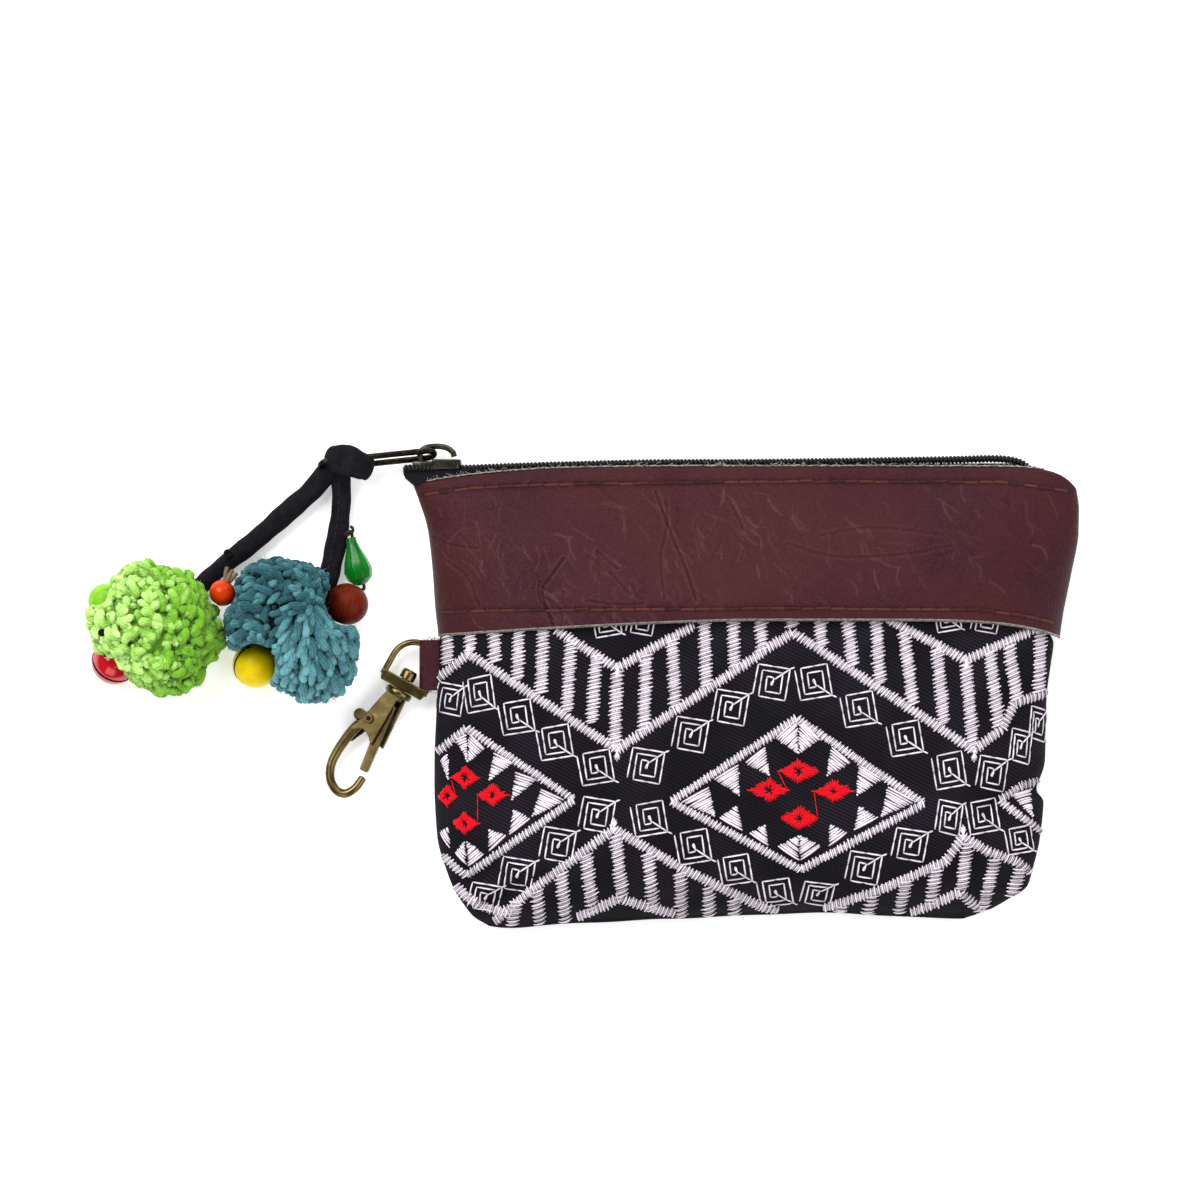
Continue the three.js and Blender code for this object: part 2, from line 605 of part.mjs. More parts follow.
/** A pompom: yarn loops lying over a head, flat where it rests, and dented by what lies against it. */
function pompom(spec, dents) {
  const head = new THREE.SphereGeometry(1, 12, 8);
  head.scale(spec.half.x, spec.half.y, spec.half.z);
  const parts = [head];
  const golden = Math.PI * (3 - Math.sqrt(5));
  for (let i = 0; i < spec.loops; i += 1) {
    const z = 1 - (2 * (i + 0.5)) / spec.loops;
    const around = Math.sqrt(1 - z * z);
    const out = new THREE.Vector3(around * Math.cos(golden * i), around * Math.sin(golden * i), z);
    const seat = out.clone().multiply(spec.half);
    if (seat.z < 3 - spec.middle.z) {
      continue;
    }
    const loop = new THREE.IcosahedronGeometry(1, 0);
    loop.scale(spec.loop.x, spec.loop.y, spec.loop.z);
    loop.rotateZ(i % 2 ? 0.6 : -0.4);
    loop.applyQuaternion(new THREE.Quaternion().setFromUnitVectors(new THREE.Vector3(0, 0, 1), out));
    parts.push(loop.translate(seat.x, seat.y, seat.z));
  }
  for (const part of parts) {
    part.rotateZ(spec.turn);
    part.translate(spec.middle.x, spec.middle.y, spec.middle.z);
  }
  const ground = new THREE.BoxGeometry(60, 60, 10);
  ground.translate(spec.middle.x, spec.middle.y, YARN_FLAT - 5);
  return joined(parts).subtract(joined([ground, ...dents]));
}

/** A jingle bell: a thin hollow ball with a long slot across its face. */
function bell(item) {
  const hollow = new THREE.SphereGeometry(item.radius - BELL_WALL, BEAD_SIDES, BEAD_RINGS);
  hollow.translate(item.middle.x, item.middle.y, item.middle.z);
  const slot = new THREE.BoxGeometry(BELL_SLOT, 1.7 * item.radius, item.radius);
  slot.translate(0, 0, item.radius * 0.75);
  slot.rotateX(-0.35);
  slot.rotateZ(item.slotTurn);
  slot.translate(item.middle.x, item.middle.y, item.middle.z);
  return solidGeometry(solid(ball(item, 0)).subtract(solid(hollow)).subtract(solid(slot)));
}

/** A drilled round bead, its hole along a level heading. */
function bead(item, heading) {
  const profile = [];
  const turns = BEAD_RINGS - 1;
  const start = Math.asin(BEAD_HOLE / item.radius);
  for (let i = 0; i <= turns; i += 1) {
    const angle = start + ((Math.PI - 2 * start) * i) / turns;
    profile.push([-item.radius * Math.cos(angle), item.radius * Math.sin(angle)]);
  }
  profile.push(profile[0]);
  const geometry = turnedGeometry(profile, BEAD_SIDES);
  geometry.rotateZ(heading);
  return geometry.translate(item.middle.x, item.middle.y, item.middle.z);
}

/** The glass drop lying on its side, drilled along its length. */
function glassDrop() {
  const { length, radius } = GREEN_DROP;
  const profile = [
    [0, BEAD_HOLE], [0, 0.95], [0.25 * length, 1.5], [0.5 * length, 0.84 * radius], [0.7 * length, radius],
    [0.86 * length, 0.86 * radius], [0.96 * length, 0.5 * radius], [length, BEAD_HOLE], [0, BEAD_HOLE],
  ];
  const geometry = turnedGeometry(profile, BEAD_SIDES);
  geometry.rotateZ(GREEN_DROP.heading);
  return geometry.translate(GREEN_DROP.top.x, GREEN_DROP.top.y, GREEN_DROP.top.z);
}

// Assembly

const purse = new THREE.Group();
const tapeLow = LEATHER_WALL + GAP;
const tapeHigh = LEATHER_ROWS[0].front - LEATHER_WALL - GAP - TAPE_THICKNESS;
purse.add(
  piece('fabric_pouch', clothPouch(), 0x19161c, 0.9),
  piece('leather_band_front', leatherBand(true), 0x582e30, 0.5),
  piece('leather_band_back', leatherBand(false), 0x582e30, 0.5),
  piece('zip_tape_front', zipTape(tapeHigh), 0x17151a, 0.9),
  piece('zip_tape_back', zipTape(tapeLow), 0x17151a, 0.9),
  piece('zip_chain', zipChain(), 0x17151a, 0.6),
  piece('zip_slider', zipSlider(), 0x4b443c, 0.4, 0.9),
  piece('zip_pull', zipPull(), 0x4b443c, 0.4, 0.9),
  piece('side_tab', sideTab(), 0x582e30, 0.5),
);

const clasp = new THREE.Group();
clasp.position.copy(CLASP_CENTRE);
clasp.rotation.z = CLASP_HEADING;
const turning = new THREE.Group();
turning.rotation.x = CLASP_ROLL;
turning.add(
  piece('clasp_hook', claspHook(), 0x8c733c, 0.35, 1),
  piece('clasp_lever', claspLever(), 0x8c733c, 0.35, 1),
);
clasp.add(piece('clasp_eye', claspEye(), 0x8c733c, 0.35, 1), turning);

const limeDents = [...clearStrands(), ball(RED_BELL, GAP), ball(LIME_BEAD, GAP), dent(ORANGE_BEAD)];
const lime = pompom(POMPOMS.lime, limeDents);
const tealDents = [...clearStrands(), dent(YELLOW_BELL), dent(WOOD_BEAD), dent(ORANGE_BEAD)];
const teal = pompom(POMPOMS.teal, tealDents);

const charm = new THREE.Group();
charm.add(
  piece('strap_knot', strapKnot(), 0x1c181e, 0.9),
  piece('strap_left', strand(STRAP_LEFT_ROUTE, STRAP_RADIUS), 0x1c181e, 0.9),
  piece('strap_right', strand(STRAP_RIGHT_ROUTE, STRAP_RADIUS), 0x1c181e, 0.9),
  piece('lime_pompom', solidGeometry(lime), 0x96d75a, 0.95),
  piece('teal_pompom', solidGeometry(teal), 0x5091a5, 0.95),
  piece('red_bell', bell(RED_BELL), 0xc80f1e, 0.2, 0.3),
  piece('yellow_bell', bell(YELLOW_BELL), 0xe1cd0a, 0.3, 0.3),
  piece('lime_bead', bead(LIME_BEAD, 0.4), 0x8ee03c, 0.4),
  piece('orange_bead', bead(ORANGE_BEAD, 0.9), 0xf55f0a, 0.25),
  piece('wood_bead', bead(WOOD_BEAD, 1.2), 0x823214, 0.5),
  piece('green_drop', glassDrop(), 0x14a03c, 0.1),
);

purse.add(clasp, charm);

export default purse;
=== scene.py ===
"""Dressed model of a leather-banded coin purse with a trigger clasp and a pompom charm.

The purse lies on its back and is seen from straight above. Lengths in the classes are millimetres, in
the part's own frame: X runs to the right of the view, Y runs up it, and Z rises from the floor.
"""

import logging
import math
from dataclasses import dataclass
from enum import Enum
from typing import Callable, Optional, Sequence

import bmesh
import bpy
import numpy as np
from mathutils import Matrix, Vector


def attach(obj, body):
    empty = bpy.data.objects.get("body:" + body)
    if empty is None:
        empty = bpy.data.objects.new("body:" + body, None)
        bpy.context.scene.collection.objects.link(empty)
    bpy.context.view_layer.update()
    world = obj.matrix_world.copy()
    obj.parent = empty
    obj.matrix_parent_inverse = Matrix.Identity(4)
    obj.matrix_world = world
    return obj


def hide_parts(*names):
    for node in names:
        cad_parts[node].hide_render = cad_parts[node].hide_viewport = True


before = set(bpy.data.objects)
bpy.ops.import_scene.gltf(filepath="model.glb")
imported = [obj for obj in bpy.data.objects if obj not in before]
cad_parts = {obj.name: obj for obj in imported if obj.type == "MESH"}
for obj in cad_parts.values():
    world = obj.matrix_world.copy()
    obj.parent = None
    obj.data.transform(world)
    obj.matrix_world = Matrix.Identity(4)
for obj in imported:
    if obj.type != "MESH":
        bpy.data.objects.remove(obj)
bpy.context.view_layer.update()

LOG = logging.getLogger("purse")
MM = 0.001

Point = tuple[float, float, float]
Pair = tuple[float, float]
Colour = tuple[float, float, float]
Pairs = tuple[Pair, ...]
Points = tuple[Point, ...]
Array = np.ndarray
Item = bpy.types.Object
Material = bpy.types.Material
Plan = Callable[[Array, Array], tuple[Array, Array]]
Surface = Callable[[Array, Array], Array]


class Body(Enum):
    """Moving bodies of the part."""

    PURSE = "purse"
    HOOK = "hook"
    LEVER = "lever"


class Slot(Enum):
    """Material slots of the part's record."""

    CLOTH = "cloth"
    LEATHER = "leather"
    TAPE = "tape"
    COIL = "coil"
    GUNMETAL = "gunmetal"
    ANTIQUE_BRASS = "antique_brass"
    STRAP = "strap"
    LIME_YARN = "lime_yarn"
    TEAL_YARN = "teal_yarn"
    RED_ENAMEL = "red_enamel"
    YELLOW_ENAMEL = "yellow_enamel"
    LIME_PLASTIC = "lime_plastic"
    ORANGE_PLASTIC = "orange_plastic"
    WOOD = "wood"
    GREEN_GLASS = "green_glass"


def channel(value: float) -> float:
    """Turn one display channel from 0 to 255 into a linear one."""
    part = value / 255
    return part / 12.92 if part <= 0.04045 else ((part + 0.055) / 1.055) ** 2.4


def linear(colour: Colour) -> tuple[float, float, float, float]:
    """Turn a display colour into a linear one with full alpha."""
    return channel(colour[0]), channel(colour[1]), channel(colour[2]), 1.0


class Value:
    """A shader socket that can be added, multiplied and compared like a number."""

    def __init__(self, graph: "Graph", socket: bpy.types.NodeSocket) -> None:
        """Wrap an output socket of a graph."""
        self.graph = graph
        self.socket = socket

    def out(self, name: str) -> "Value":
        """Give another output of the same node."""
        return Value(self.graph, self.socket.node.outputs[name])

    def math(self, operation: str, *others: "Value | float") -> "Value":
        """Join this value and others in a Math node."""
        inputs = {index: value for index, value in enumerate((self, *others))}
        return self.graph.node("ShaderNodeMath", {"operation": operation}, inputs)

    def __add__(self, other: "Value | float") -> "Value":
        """Add a value or a number."""
        return self.math("ADD", other)

    def __mul__(self, other: "Value | float") -> "Value":
        """Multiply by a value or a number."""
        return self.math("MULTIPLY", other)

    def __sub__(self, other: "Value | float") -> "Value":
        """Take away a value or a number."""
        return self.math("SUBTRACT", other)

    def __rsub__(self, other: float) -> "Value":
        """Take this value away from a number."""
        return (self * -1.0) + other

    def __truediv__(self, other: "Value | float") -> "Value":
        """Divide by a value or a number."""
        return self.math("DIVIDE", other)

    __radd__ = __add__
    __rmul__ = __mul__

    def smooth(self, low: float, high: float) -> "Value":
        """Rise smoothly from nought at the low end to one at the high end."""
        settings = {"interpolation_type": "SMOOTHSTEP"}
        return self.graph.node("ShaderNodeMapRange", settings, {0: self, 1: low, 2: high})


class Graph:
    """The node tree of one finish, with its Principled shader."""

    def __init__(self, name: str) -> None:
        """Start a material.

        Args:
            name: Name of the material.
        """
        self.material = bpy.data.materials.new(name)
        self.material.use_nodes = True
        self.tree = self.material.node_tree
        self.shader = self.tree.nodes["Principled BSDF"]

    def node(
        self,
        kind: str,
        settings: Optional[dict[str, object]] = None,
        sockets: Optional[dict[int | str, object]] = None,
        output: int | str = 0,
    ) -> Value:
        """Make a node, set it up and feed its sockets.

        Args:
            kind: The node's type.
            settings: Properties to set first. The name stops holds the stops of a ramp.
            sockets: Values or links of the inputs, by index or name.
            output: The output to give back.

        Returns:
            The wrapped output.
        """
        node = self.tree.nodes.new(kind)
        for key, value in (settings or {}).items():
            if key == "stops":
                self.ramp(node, value)
            else:
                setattr(node, key, value)
        for key, value in (sockets or {}).items():
            self.feed(node.inputs[key], value)
        return Value(self, node.outputs[output])

    @staticmethod
    def ramp(node: bpy.types.Node, stops: Sequence[tuple[float, Colour]]) -> None:
        """Set the stops of a colour ramp.

        Args:
            node: The ramp node.
            stops: Places and display colours, in order.
        """
        elements = node.color_ramp.elements
        while len(elements) < len(stops):
            elements.new(0.5)
        for element, (place, colour) in zip(elements, stops):
            element.position = place
            element.color = linear(colour)

    def feed(self, socket: bpy.types.NodeSocket, value: object) -> None:
        """Link or set one input.

        Args:
            socket: The input.
            value: A wrapped output, or a plain value.
        """
        if isinstance(value, Value):
            self.tree.links.new(value.socket, socket)
        else:
            socket.default_value = value

    def place(self, scale: Point = (1.0, 1.0, 1.0), turn: float = 0.0, uv: bool = False) -> Value:
        """Give coordinates in millimetres.

        Args:
            scale: Scale of each axis.
            turn: Turn about Z in radians, done after the scale.
            uv: True for the mesh's own UV instead of object coordinates.

        Returns:
            The coordinates.
        """
        source = self.node("ShaderNodeTexCoord", output="UV" if uv else "Object")
        factor = 1.0 if uv else 1.0 / MM
        size = tuple(part * factor for part in scale)
        scaled = self.node("ShaderNodeVectorMath", {"operation": "MULTIPLY"}, {0: source, 1: size})
        if not turn:
            return scaled
        return self.node(
            "ShaderNodeVectorRotate", {"rotation_type": "Z_AXIS"}, {"Vector": scaled, "Angle": turn}
        )

    def noise(self, where: Value, scale: float, detail: float = 3.0, rough: float = 0.55) -> Value:
        """Give fractal noise about one half, with a scale in cycles to a millimetre."""
        inputs = {"Vector": where, "Scale": scale, "Detail": detail, "Roughness": rough}
        return self.node("ShaderNodeTexNoise", None, inputs)

    def attribute(self, name: str) -> Value:
        """Read a number stored in the mesh."""
        return self.node("ShaderNodeAttribute", {"attribute_name": name}, output="Fac")

    def mix(self, factor: Value | float, first: Value | Colour, second: Value | Colour) -> Value:
        """Mix two wrapped or display colours, nought giving the first one."""
        ends = [end if isinstance(end, Value) else linear(end) for end in (first, second)]
        return self.node("ShaderNodeMix", {"data_type": "RGBA"}, {0: factor, 6: ends[0], 7: ends[1]}, 2)

    def bump(self, height: Value, distance: float) -> None:
        """Give the shader a bumped normal, with the height of one unit in millimetres."""
        inputs = {"Height": height, "Distance": distance * MM, "Strength": 1.0}
        self.set("Normal", self.node("ShaderNodeBump", None, inputs))

    def gloss(self, rough: Value | float, shine: float) -> None:
        """Set how rough the surface is and how strongly it reflects."""
        self.set("Roughness", rough)
        self.set("Specular IOR Level", shine)

    def set(self, name: str, value: object) -> None:
        """Set or link an input of the Principled shader."""
        self.feed(self.shader.inputs[name], value)


@dataclass(frozen=True)
class Leather:
    """Waxed maroon leather with a fine grain, scuffs and shallow creases. Its tone attribute paints shade in the stitch
    grooves and creases and paints highlight on the crease lips.
    """

    deep: Colour = (49, 18, 28)
    middle: Colour = (59, 22, 28)
    worn: Colour = (64, 26, 26)
    mottled: Colour = (69, 29, 32)
    speckled: Colour = (74, 36, 42)
    # The pale colour takes random pale wrinkle marks and the painted highlight on crease lips; the shaded colour takes
    # the painted shade and the dark wrinkle marks.
    pale_wrinkle_and_highlight: Colour = (104, 70, 73)
    shaded: Colour = (30, 12, 15)
    pores: Colour = (42, 17, 20)
    grain: float = 1.5

    def material(self) -> Material:
        """Build the finish.

        Returns:
            The material.
        """
        graph = Graph("leather")
        where = graph.place()
        stops = [(0.4, self.deep), (0.5, self.middle), (0.6, self.worn)]
        tint = graph.node("ShaderNodeValToRGB", {"stops": stops}, {0: graph.noise(where, 0.03, 2.0)})
        mottle = graph.noise(where, 0.55, 4.0)
        tint = graph.mix((mottle - 0.5).smooth(-0.2, 0.25) * 0.5, tint, self.mottled)
        fine = graph.noise(where, 2.1, 2.0, 0.6)
        tint = graph.mix((fine - 0.5).smooth(-0.12, 0.2) * 0.5, tint, self.speckled)
        # The tone attribute: painted shade below nought, painted highlight and pale wrinkle marks above it.
        wrinkle_shade_and_highlight = graph.attribute("tone")
        tint = graph.mix(wrinkle_shade_and_highlight.math("MAXIMUM", 0.0) * 0.5, tint, self.pale_wrinkle_and_highlight)
        tint = graph.mix((wrinkle_shade_and_highlight * -1.0).math("MAXIMUM", 0.0) * 0.7, tint, self.shaded)
        cells = graph.node(
            "ShaderNodeTexVoronoi",
            {"feature": "DISTANCE_TO_EDGE"},
            {"Vector": where, "Scale": self.grain, "Randomness": 1.0},
        )
        grain = cells.smooth(0.0, 0.16)
        graph.set("Base Color", graph.mix((1.0 - grain) * 0.3, tint, self.pores))
        graph.gloss(0.46 + (mottle - 0.5) * 0.3, 0.1)
        graph.bump(grain * 0.4 + mottle * 0.4 + fine * 0.4 + wrinkle_shade_and_highlight * 0.6, 0.14)
        return graph.material


@dataclass(frozen=True)
class Twill:
    """Black cotton twill with slanting ribs and a little lint."""

    groove: Colour = (5, 4, 6)
    rib: Colour = (40, 36, 46)
    lint: Colour = (110, 106, 114)
    pitch: float = 0.66
    yarn: float = 0.55
    slant: float = 0.45

    def material(self) -> Material:
        """Build the finish.

        Returns:
            The material.
        """
        graph = Graph("twill")
        where = graph.place(uv=True)
        wobble = graph.noise(where, 0.25, 2.0) - 0.5
        parts = graph.node("ShaderNodeSeparateXYZ", None, {0: where})
        run = parts * math.sin(self.slant) + parts.out("Y") * math.cos(self.slant) + wobble * 0.5
        rib = (run * (math.tau / self.pitch)).math("SINE") * 0.5 + 0.5
        cross = (parts * math.cos(self.slant) - parts.out("Y") * math.sin(self.slant)) * (math.tau / self.yarn)
        knot = (cross + (run * (math.pi / self.pitch)).math("SINE") * 2.0).math("SINE") * 0.5 + 0.5
        weave = rib * 0.75 + knot * 0.25
        dust = graph.noise(where, 0.06, 2.0).smooth(0.35, 0.7)
        tint = graph.mix(weave * (0.35 + dust * 0.55), self.groove, self.rib)
        lint = (graph.noise(where, 1.9, 2.0, 0.4) - 0.77).smooth(0.0, 0.05)
        graph.set("Base Color", graph.mix(lint * 0.25, tint, self.lint))
        graph.gloss(0.88, 0.1)
        graph.bump(weave, 0.1)
        return graph.material


@dataclass(frozen=True)
class Thread:
    """Twisted sewing or embroidery thread, toned stitch by stitch. The tone also carries painted shade on the sides of
    raised stitches, on the lower stitches of bands and in needle holes.
    """

    name: str
    dark: Colour
    light: Colour
    rough: float = 0.55
    sheen: float = 0.05

    def material(self) -> Material:
        """Build the finish.

        Returns:
            The material.
        """
        graph = Graph(self.name)
        fine = graph.noise(graph.place(), 3.2, 2.0)
        light = (graph.attribute("tone") * 0.75 + fine * 0.5).smooth(0.1, 0.9)
        graph.set("Base Color", graph.mix(light, self.dark, self.light))
        graph.gloss(self.rough, 0.1)
        graph.set("Sheen Weight", self.sheen)
        graph.bump(fine, 0.06)
        return graph.material


@dataclass(frozen=True)
class Tape:
    """Black woven zip tape with a fine chevron."""

    dark: Colour = (7, 6, 8)
    light: Colour = (32, 30, 36)
    pitch: float = 0.8

    def material(self) -> Material:
        """Build the finish.

        Returns:
            The material.
        """
        graph = Graph("zip_tape")
        parts = graph.node("ShaderNodeSeparateXYZ", None, {0: graph.place()})
        fold = ((parts.out("Y") * 1.1).math("FRACT") - 0.5).math("ABSOLUTE")
        rib = ((parts + fold * 1.6) * (math.tau / self.pitch)).math("SINE") * 0.5 + 0.5
        graph.set("Base Color", graph.mix(rib, self.dark, self.light))
        graph.gloss(0.8, 0.15)
        graph.bump(rib, 0.15)
        return graph.material


@dataclass(frozen=True)
class Metal:
    """Plated metal with patina in patches and worn lighter places."""

    name: str
    dark: Colour
    middle: Colour
    bright: Colour
    rough: float
    patch: float

    def material(self) -> Material:
        """Build the finish.

        Returns:
            The material.
        """
        graph = Graph(self.name)
        where = graph.place()
        patch = graph.noise(where, self.patch, 4.0, 0.6)
        wear = graph.noise(where, self.patch * 5.0, 3.0, 0.6)
        tint = graph.mix(patch.smooth(0.35, 0.65), self.dark, self.middle)
        graph.set("Base Color", graph.mix(wear.smooth(0.5, 0.8) * 0.5, tint, self.bright))
        graph.set("Metallic", 1.0)
        graph.set("Roughness", self.rough + (wear - 0.5) * 0.2)
        graph.bump(wear, 0.012)
        return graph.material


@dataclass(frozen=True)
class StrapCloth:
    """Fine black cotton of the strap."""

    dark: Colour = (4, 4, 6)
    light: Colour = (40, 37, 44)
    lint: Colour = (140, 136, 140)
    pitch: float = 0.42

    def material(self) -> Material:
        """Build the finish.

        Returns:
            The material.
        """
        graph = Graph("strap_cloth")
        where = graph.place(uv=True)
        parts = graph.node("ShaderNodeSeparateXYZ", None, {0: where})
        warp = (parts * (math.tau / self.pitch)).math("SINE") * 0.5 + 0.5
        weft = (parts.out("Y") * (math.tau / self.pitch)).math("SINE") * 0.5 + 0.5
        weave = warp * 0.5 + weft * 0.5
        soft = graph.noise(where, 0.5, 3.0)
        tint = graph.mix(weave * 0.35 + soft.smooth(0.3, 0.7) * 0.3, self.dark, self.light)
        lint = (graph.noise(where, 2.4, 2.0, 0.4) - 0.76).smooth(0.0, 0.05)
        graph.set("Base Color", graph.mix(lint * 0.3, tint, self.lint))
        graph.gloss(0.9, 0.1)
        graph.bump(weave * 0.6 + soft, 0.12)
        return graph.material


@dataclass(frozen=True)
class Yarn:
    """Soft acrylic yarn, toned loop by loop, with painted shade deep in the pompom and painted light on one side, both
    carried by the tone.
    """

    name: str
    # The deep colour is the painted shade of low tones, between and under the yarn ends.
    deep: Colour
    middle: Colour
    light: Colour

    def material(self) -> Material:
        """Build the finish.

        Returns:
            The material.
        """
        graph = Graph(self.name)
        parts = graph.node("ShaderNodeSeparateXYZ", None, {0: graph.place(uv=True)})
        twist = ((parts * 2.0 + parts.out("Y") / 1.7) * math.tau).math("SINE") * 0.5 + 0.5
        fuzz = graph.noise(graph.place(), 1.5, 4.0, 0.65)
        tone = graph.attribute("tone") * 0.8 + fuzz * 0.3 + twist * 0.12
        stops = [(0.06, self.deep), (0.5, self.middle), (0.95, self.light)]
        graph.set("Base Color", graph.node("ShaderNodeValToRGB", {"stops": stops}, {0: tone}))
        graph.gloss(0.92, 0.1)
        graph.set("Sheen Weight", 0.4)
        graph.set("Sheen Tint", linear(self.light))
        graph.bump(twist * 0.2 + fuzz * 1.1, 0.4)
        return graph.material


@dataclass(frozen=True)
class Even:
    """A finish of two tones that blend softly, with gloss and relief that follow the same noise."""

    name: str
    first: Colour
    second: Colour
    rough: float
    shine: float
    scale: float
    detail: float = 2.0
    weight: float = 0.55
    stretch: Point = (1.0, 1.0, 1.0)
    turn: float = 0.0
    blend: Pair = (0.3, 0.7)
    uneven: float = 0.0
    relief: float = 0.0
    coat: float = 0.0
    # Other inputs of the shader, by name.
    more: tuple[tuple[str, float], ...] = ()

    def material(self) -> Material:
        """Build the finish.

        Returns:
            The material.
        """
        graph = Graph(self.name)
        soft = graph.noise(graph.place(self.stretch, self.turn), self.scale, self.detail, self.weight)
        graph.set("Base Color", graph.mix(soft.smooth(*self.blend), self.first, self.second))
        graph.gloss(self.rough + (soft - 0.5) * self.uneven if self.uneven else self.rough, self.shine)
        graph.set("Coat Weight", self.coat)
        if self.relief:
            graph.bump(soft, self.relief)
        for name, value in self.more:
            graph.set(name, value)
        return graph.material


@dataclass(frozen=True)
class Enamel(Even):
    """Lacquer on a small bell, with a few specks."""

    shine: float = 0.3
    scale: float = 0.35
    detail: float = 3.0
    blend: Pair = (0.35, 0.7)
    uneven: float = 0.15
    relief: float = 0.12
    more: tuple[tuple[str, float], ...] = (("Coat Roughness", 0.12),)


@dataclass(frozen=True)
class Plastic(Even):
    """Glossy moulded bead."""

    rough: float = 0.24
    shine: float = 0.14
    scale: float = 0.3
    blend: Pair = (0.4, 0.7)
    coat: float = 0.06


@dataclass(frozen=True)
class Floor:
    """Plain pale paper under the purse."""

    tint: Colour = (252, 252, 252)
    glow: float = 0.4

    def material(self) -> Material:
        """Build the finish.

        Returns:
            The material.
        """
        graph = Graph("pale_floor")
        for name in ("Base Color", "Emission Color"):
            graph.set(name, linear(self.tint))
        graph.set("Emission Strength", self.glow)
        graph.gloss(0.95, 0.1)
        return graph.material


class Finishes:
    """All finishes of the scene, built once."""

    def __init__(self) -> None:
        """Build the materials."""
        self.leather = Leather().material()
        self.raw_edge = Even(
            "raw_edge", (84, 74, 70), (176, 168, 160), 0.95, 0.5, 1.6, 4.0, 0.7, (1.0, 1.0, 2.0),
            blend=(0.35, 0.62), relief=0.2,
        ).material()
        self.twill = Twill().material()
        self.white_thread = Thread("white_thread", (40, 34, 48), (248, 237, 247)).material()
        self.red_thread = Thread("red_thread", (110, 0, 10), (250, 2, 30)).material()
        self.brown_thread = Thread("brown_thread", (22, 10, 11), (88, 45, 40), 0.7).material()
        self.black_thread = Thread("black_thread", (3, 3, 4), (15, 13, 17), 0.8).material()
        self.seam_thread = Thread("seam_thread", (14, 13, 16), (66, 62, 72), 0.8).material()
        self.bead_thread = Thread("bead_thread", (52, 38, 26), (118, 96, 76), 0.85).material()
        self.tape = Tape().material()
        self.coil = Even("nylon_coil", (9, 8, 10), (22, 21, 24), 0.415, 0.25, 1.2, uneven=0.15).material()
        self.gunmetal = Metal("gunmetal", (56, 54, 47), (82, 80, 70), (120, 116, 104), 0.34, 0.2).material()
        # A darker copy of the gunmetal for the pull: painted shade on the same metal as the slider.
        self.shaded_gunmetal = Metal("shaded_gunmetal", (30, 27, 22), (46, 42, 35), (92, 86, 74), 0.36, 0.2).material()
        self.brass = Metal("antique_brass", (90, 77, 47), (112, 97, 60), (160, 138, 90), 0.3, 0.12).material()
        # Dark brass for the hook's channel and pin slot: painted shade in these hollows, together with their darker
        # patina.
        self.patina_and_shade_brass = Metal("patina_and_shade_brass", (34, 26, 14), (62, 48, 26), (96, 78, 46), 0.42, 0.3).material()
        self.strap = StrapCloth().material()
        self.lime_yarn = Yarn("lime_yarn", (98, 158, 34), (124, 187, 48), (212, 254, 150)).material()
        self.teal_yarn = Yarn("teal_yarn", (8, 27, 33), (49, 94, 101), (123, 183, 191)).material()
        self.red_enamel = Enamel("red_enamel", (192, 2, 20), (160, 0, 14), 0.16, coat=0.6).material()
        yellow = Enamel("yellow_enamel", (242, 214, 0), (226, 194, 0), 0.36, 0.12, coat=0.05)
        self.yellow_enamel = yellow.material()
        # Near black inside each bell shell: painted shade.
        self.bell_inside_shade = Enamel("bell_inside_shade", (16, 11, 9), (7, 5, 4), 0.7).material()
        self.lime_plastic = Plastic("lime_plastic", (136, 196, 46), (120, 182, 34)).material()
        self.orange_plastic = Plastic("orange_plastic", (206, 56, 0), (188, 44, 0)).material()
        self.wood = Even(
            "stained_wood", (74, 17, 5), (120, 38, 12), 0.42, 0.08, 0.9, 4.0, stretch=(2.6, 0.45, 2.6), turn=0.6,
            blend=(0.2, 0.8), uneven=0.2, relief=0.05,
        ).material()
        self.glass = Even(
            "green_glass", (20, 156, 46), (6, 126, 30), 0.24, 0.3, 0.25,
            more=(("IOR", 1.45), ("Transmission Weight", 0.55)),
        ).material()
        self.floor = Floor().material()


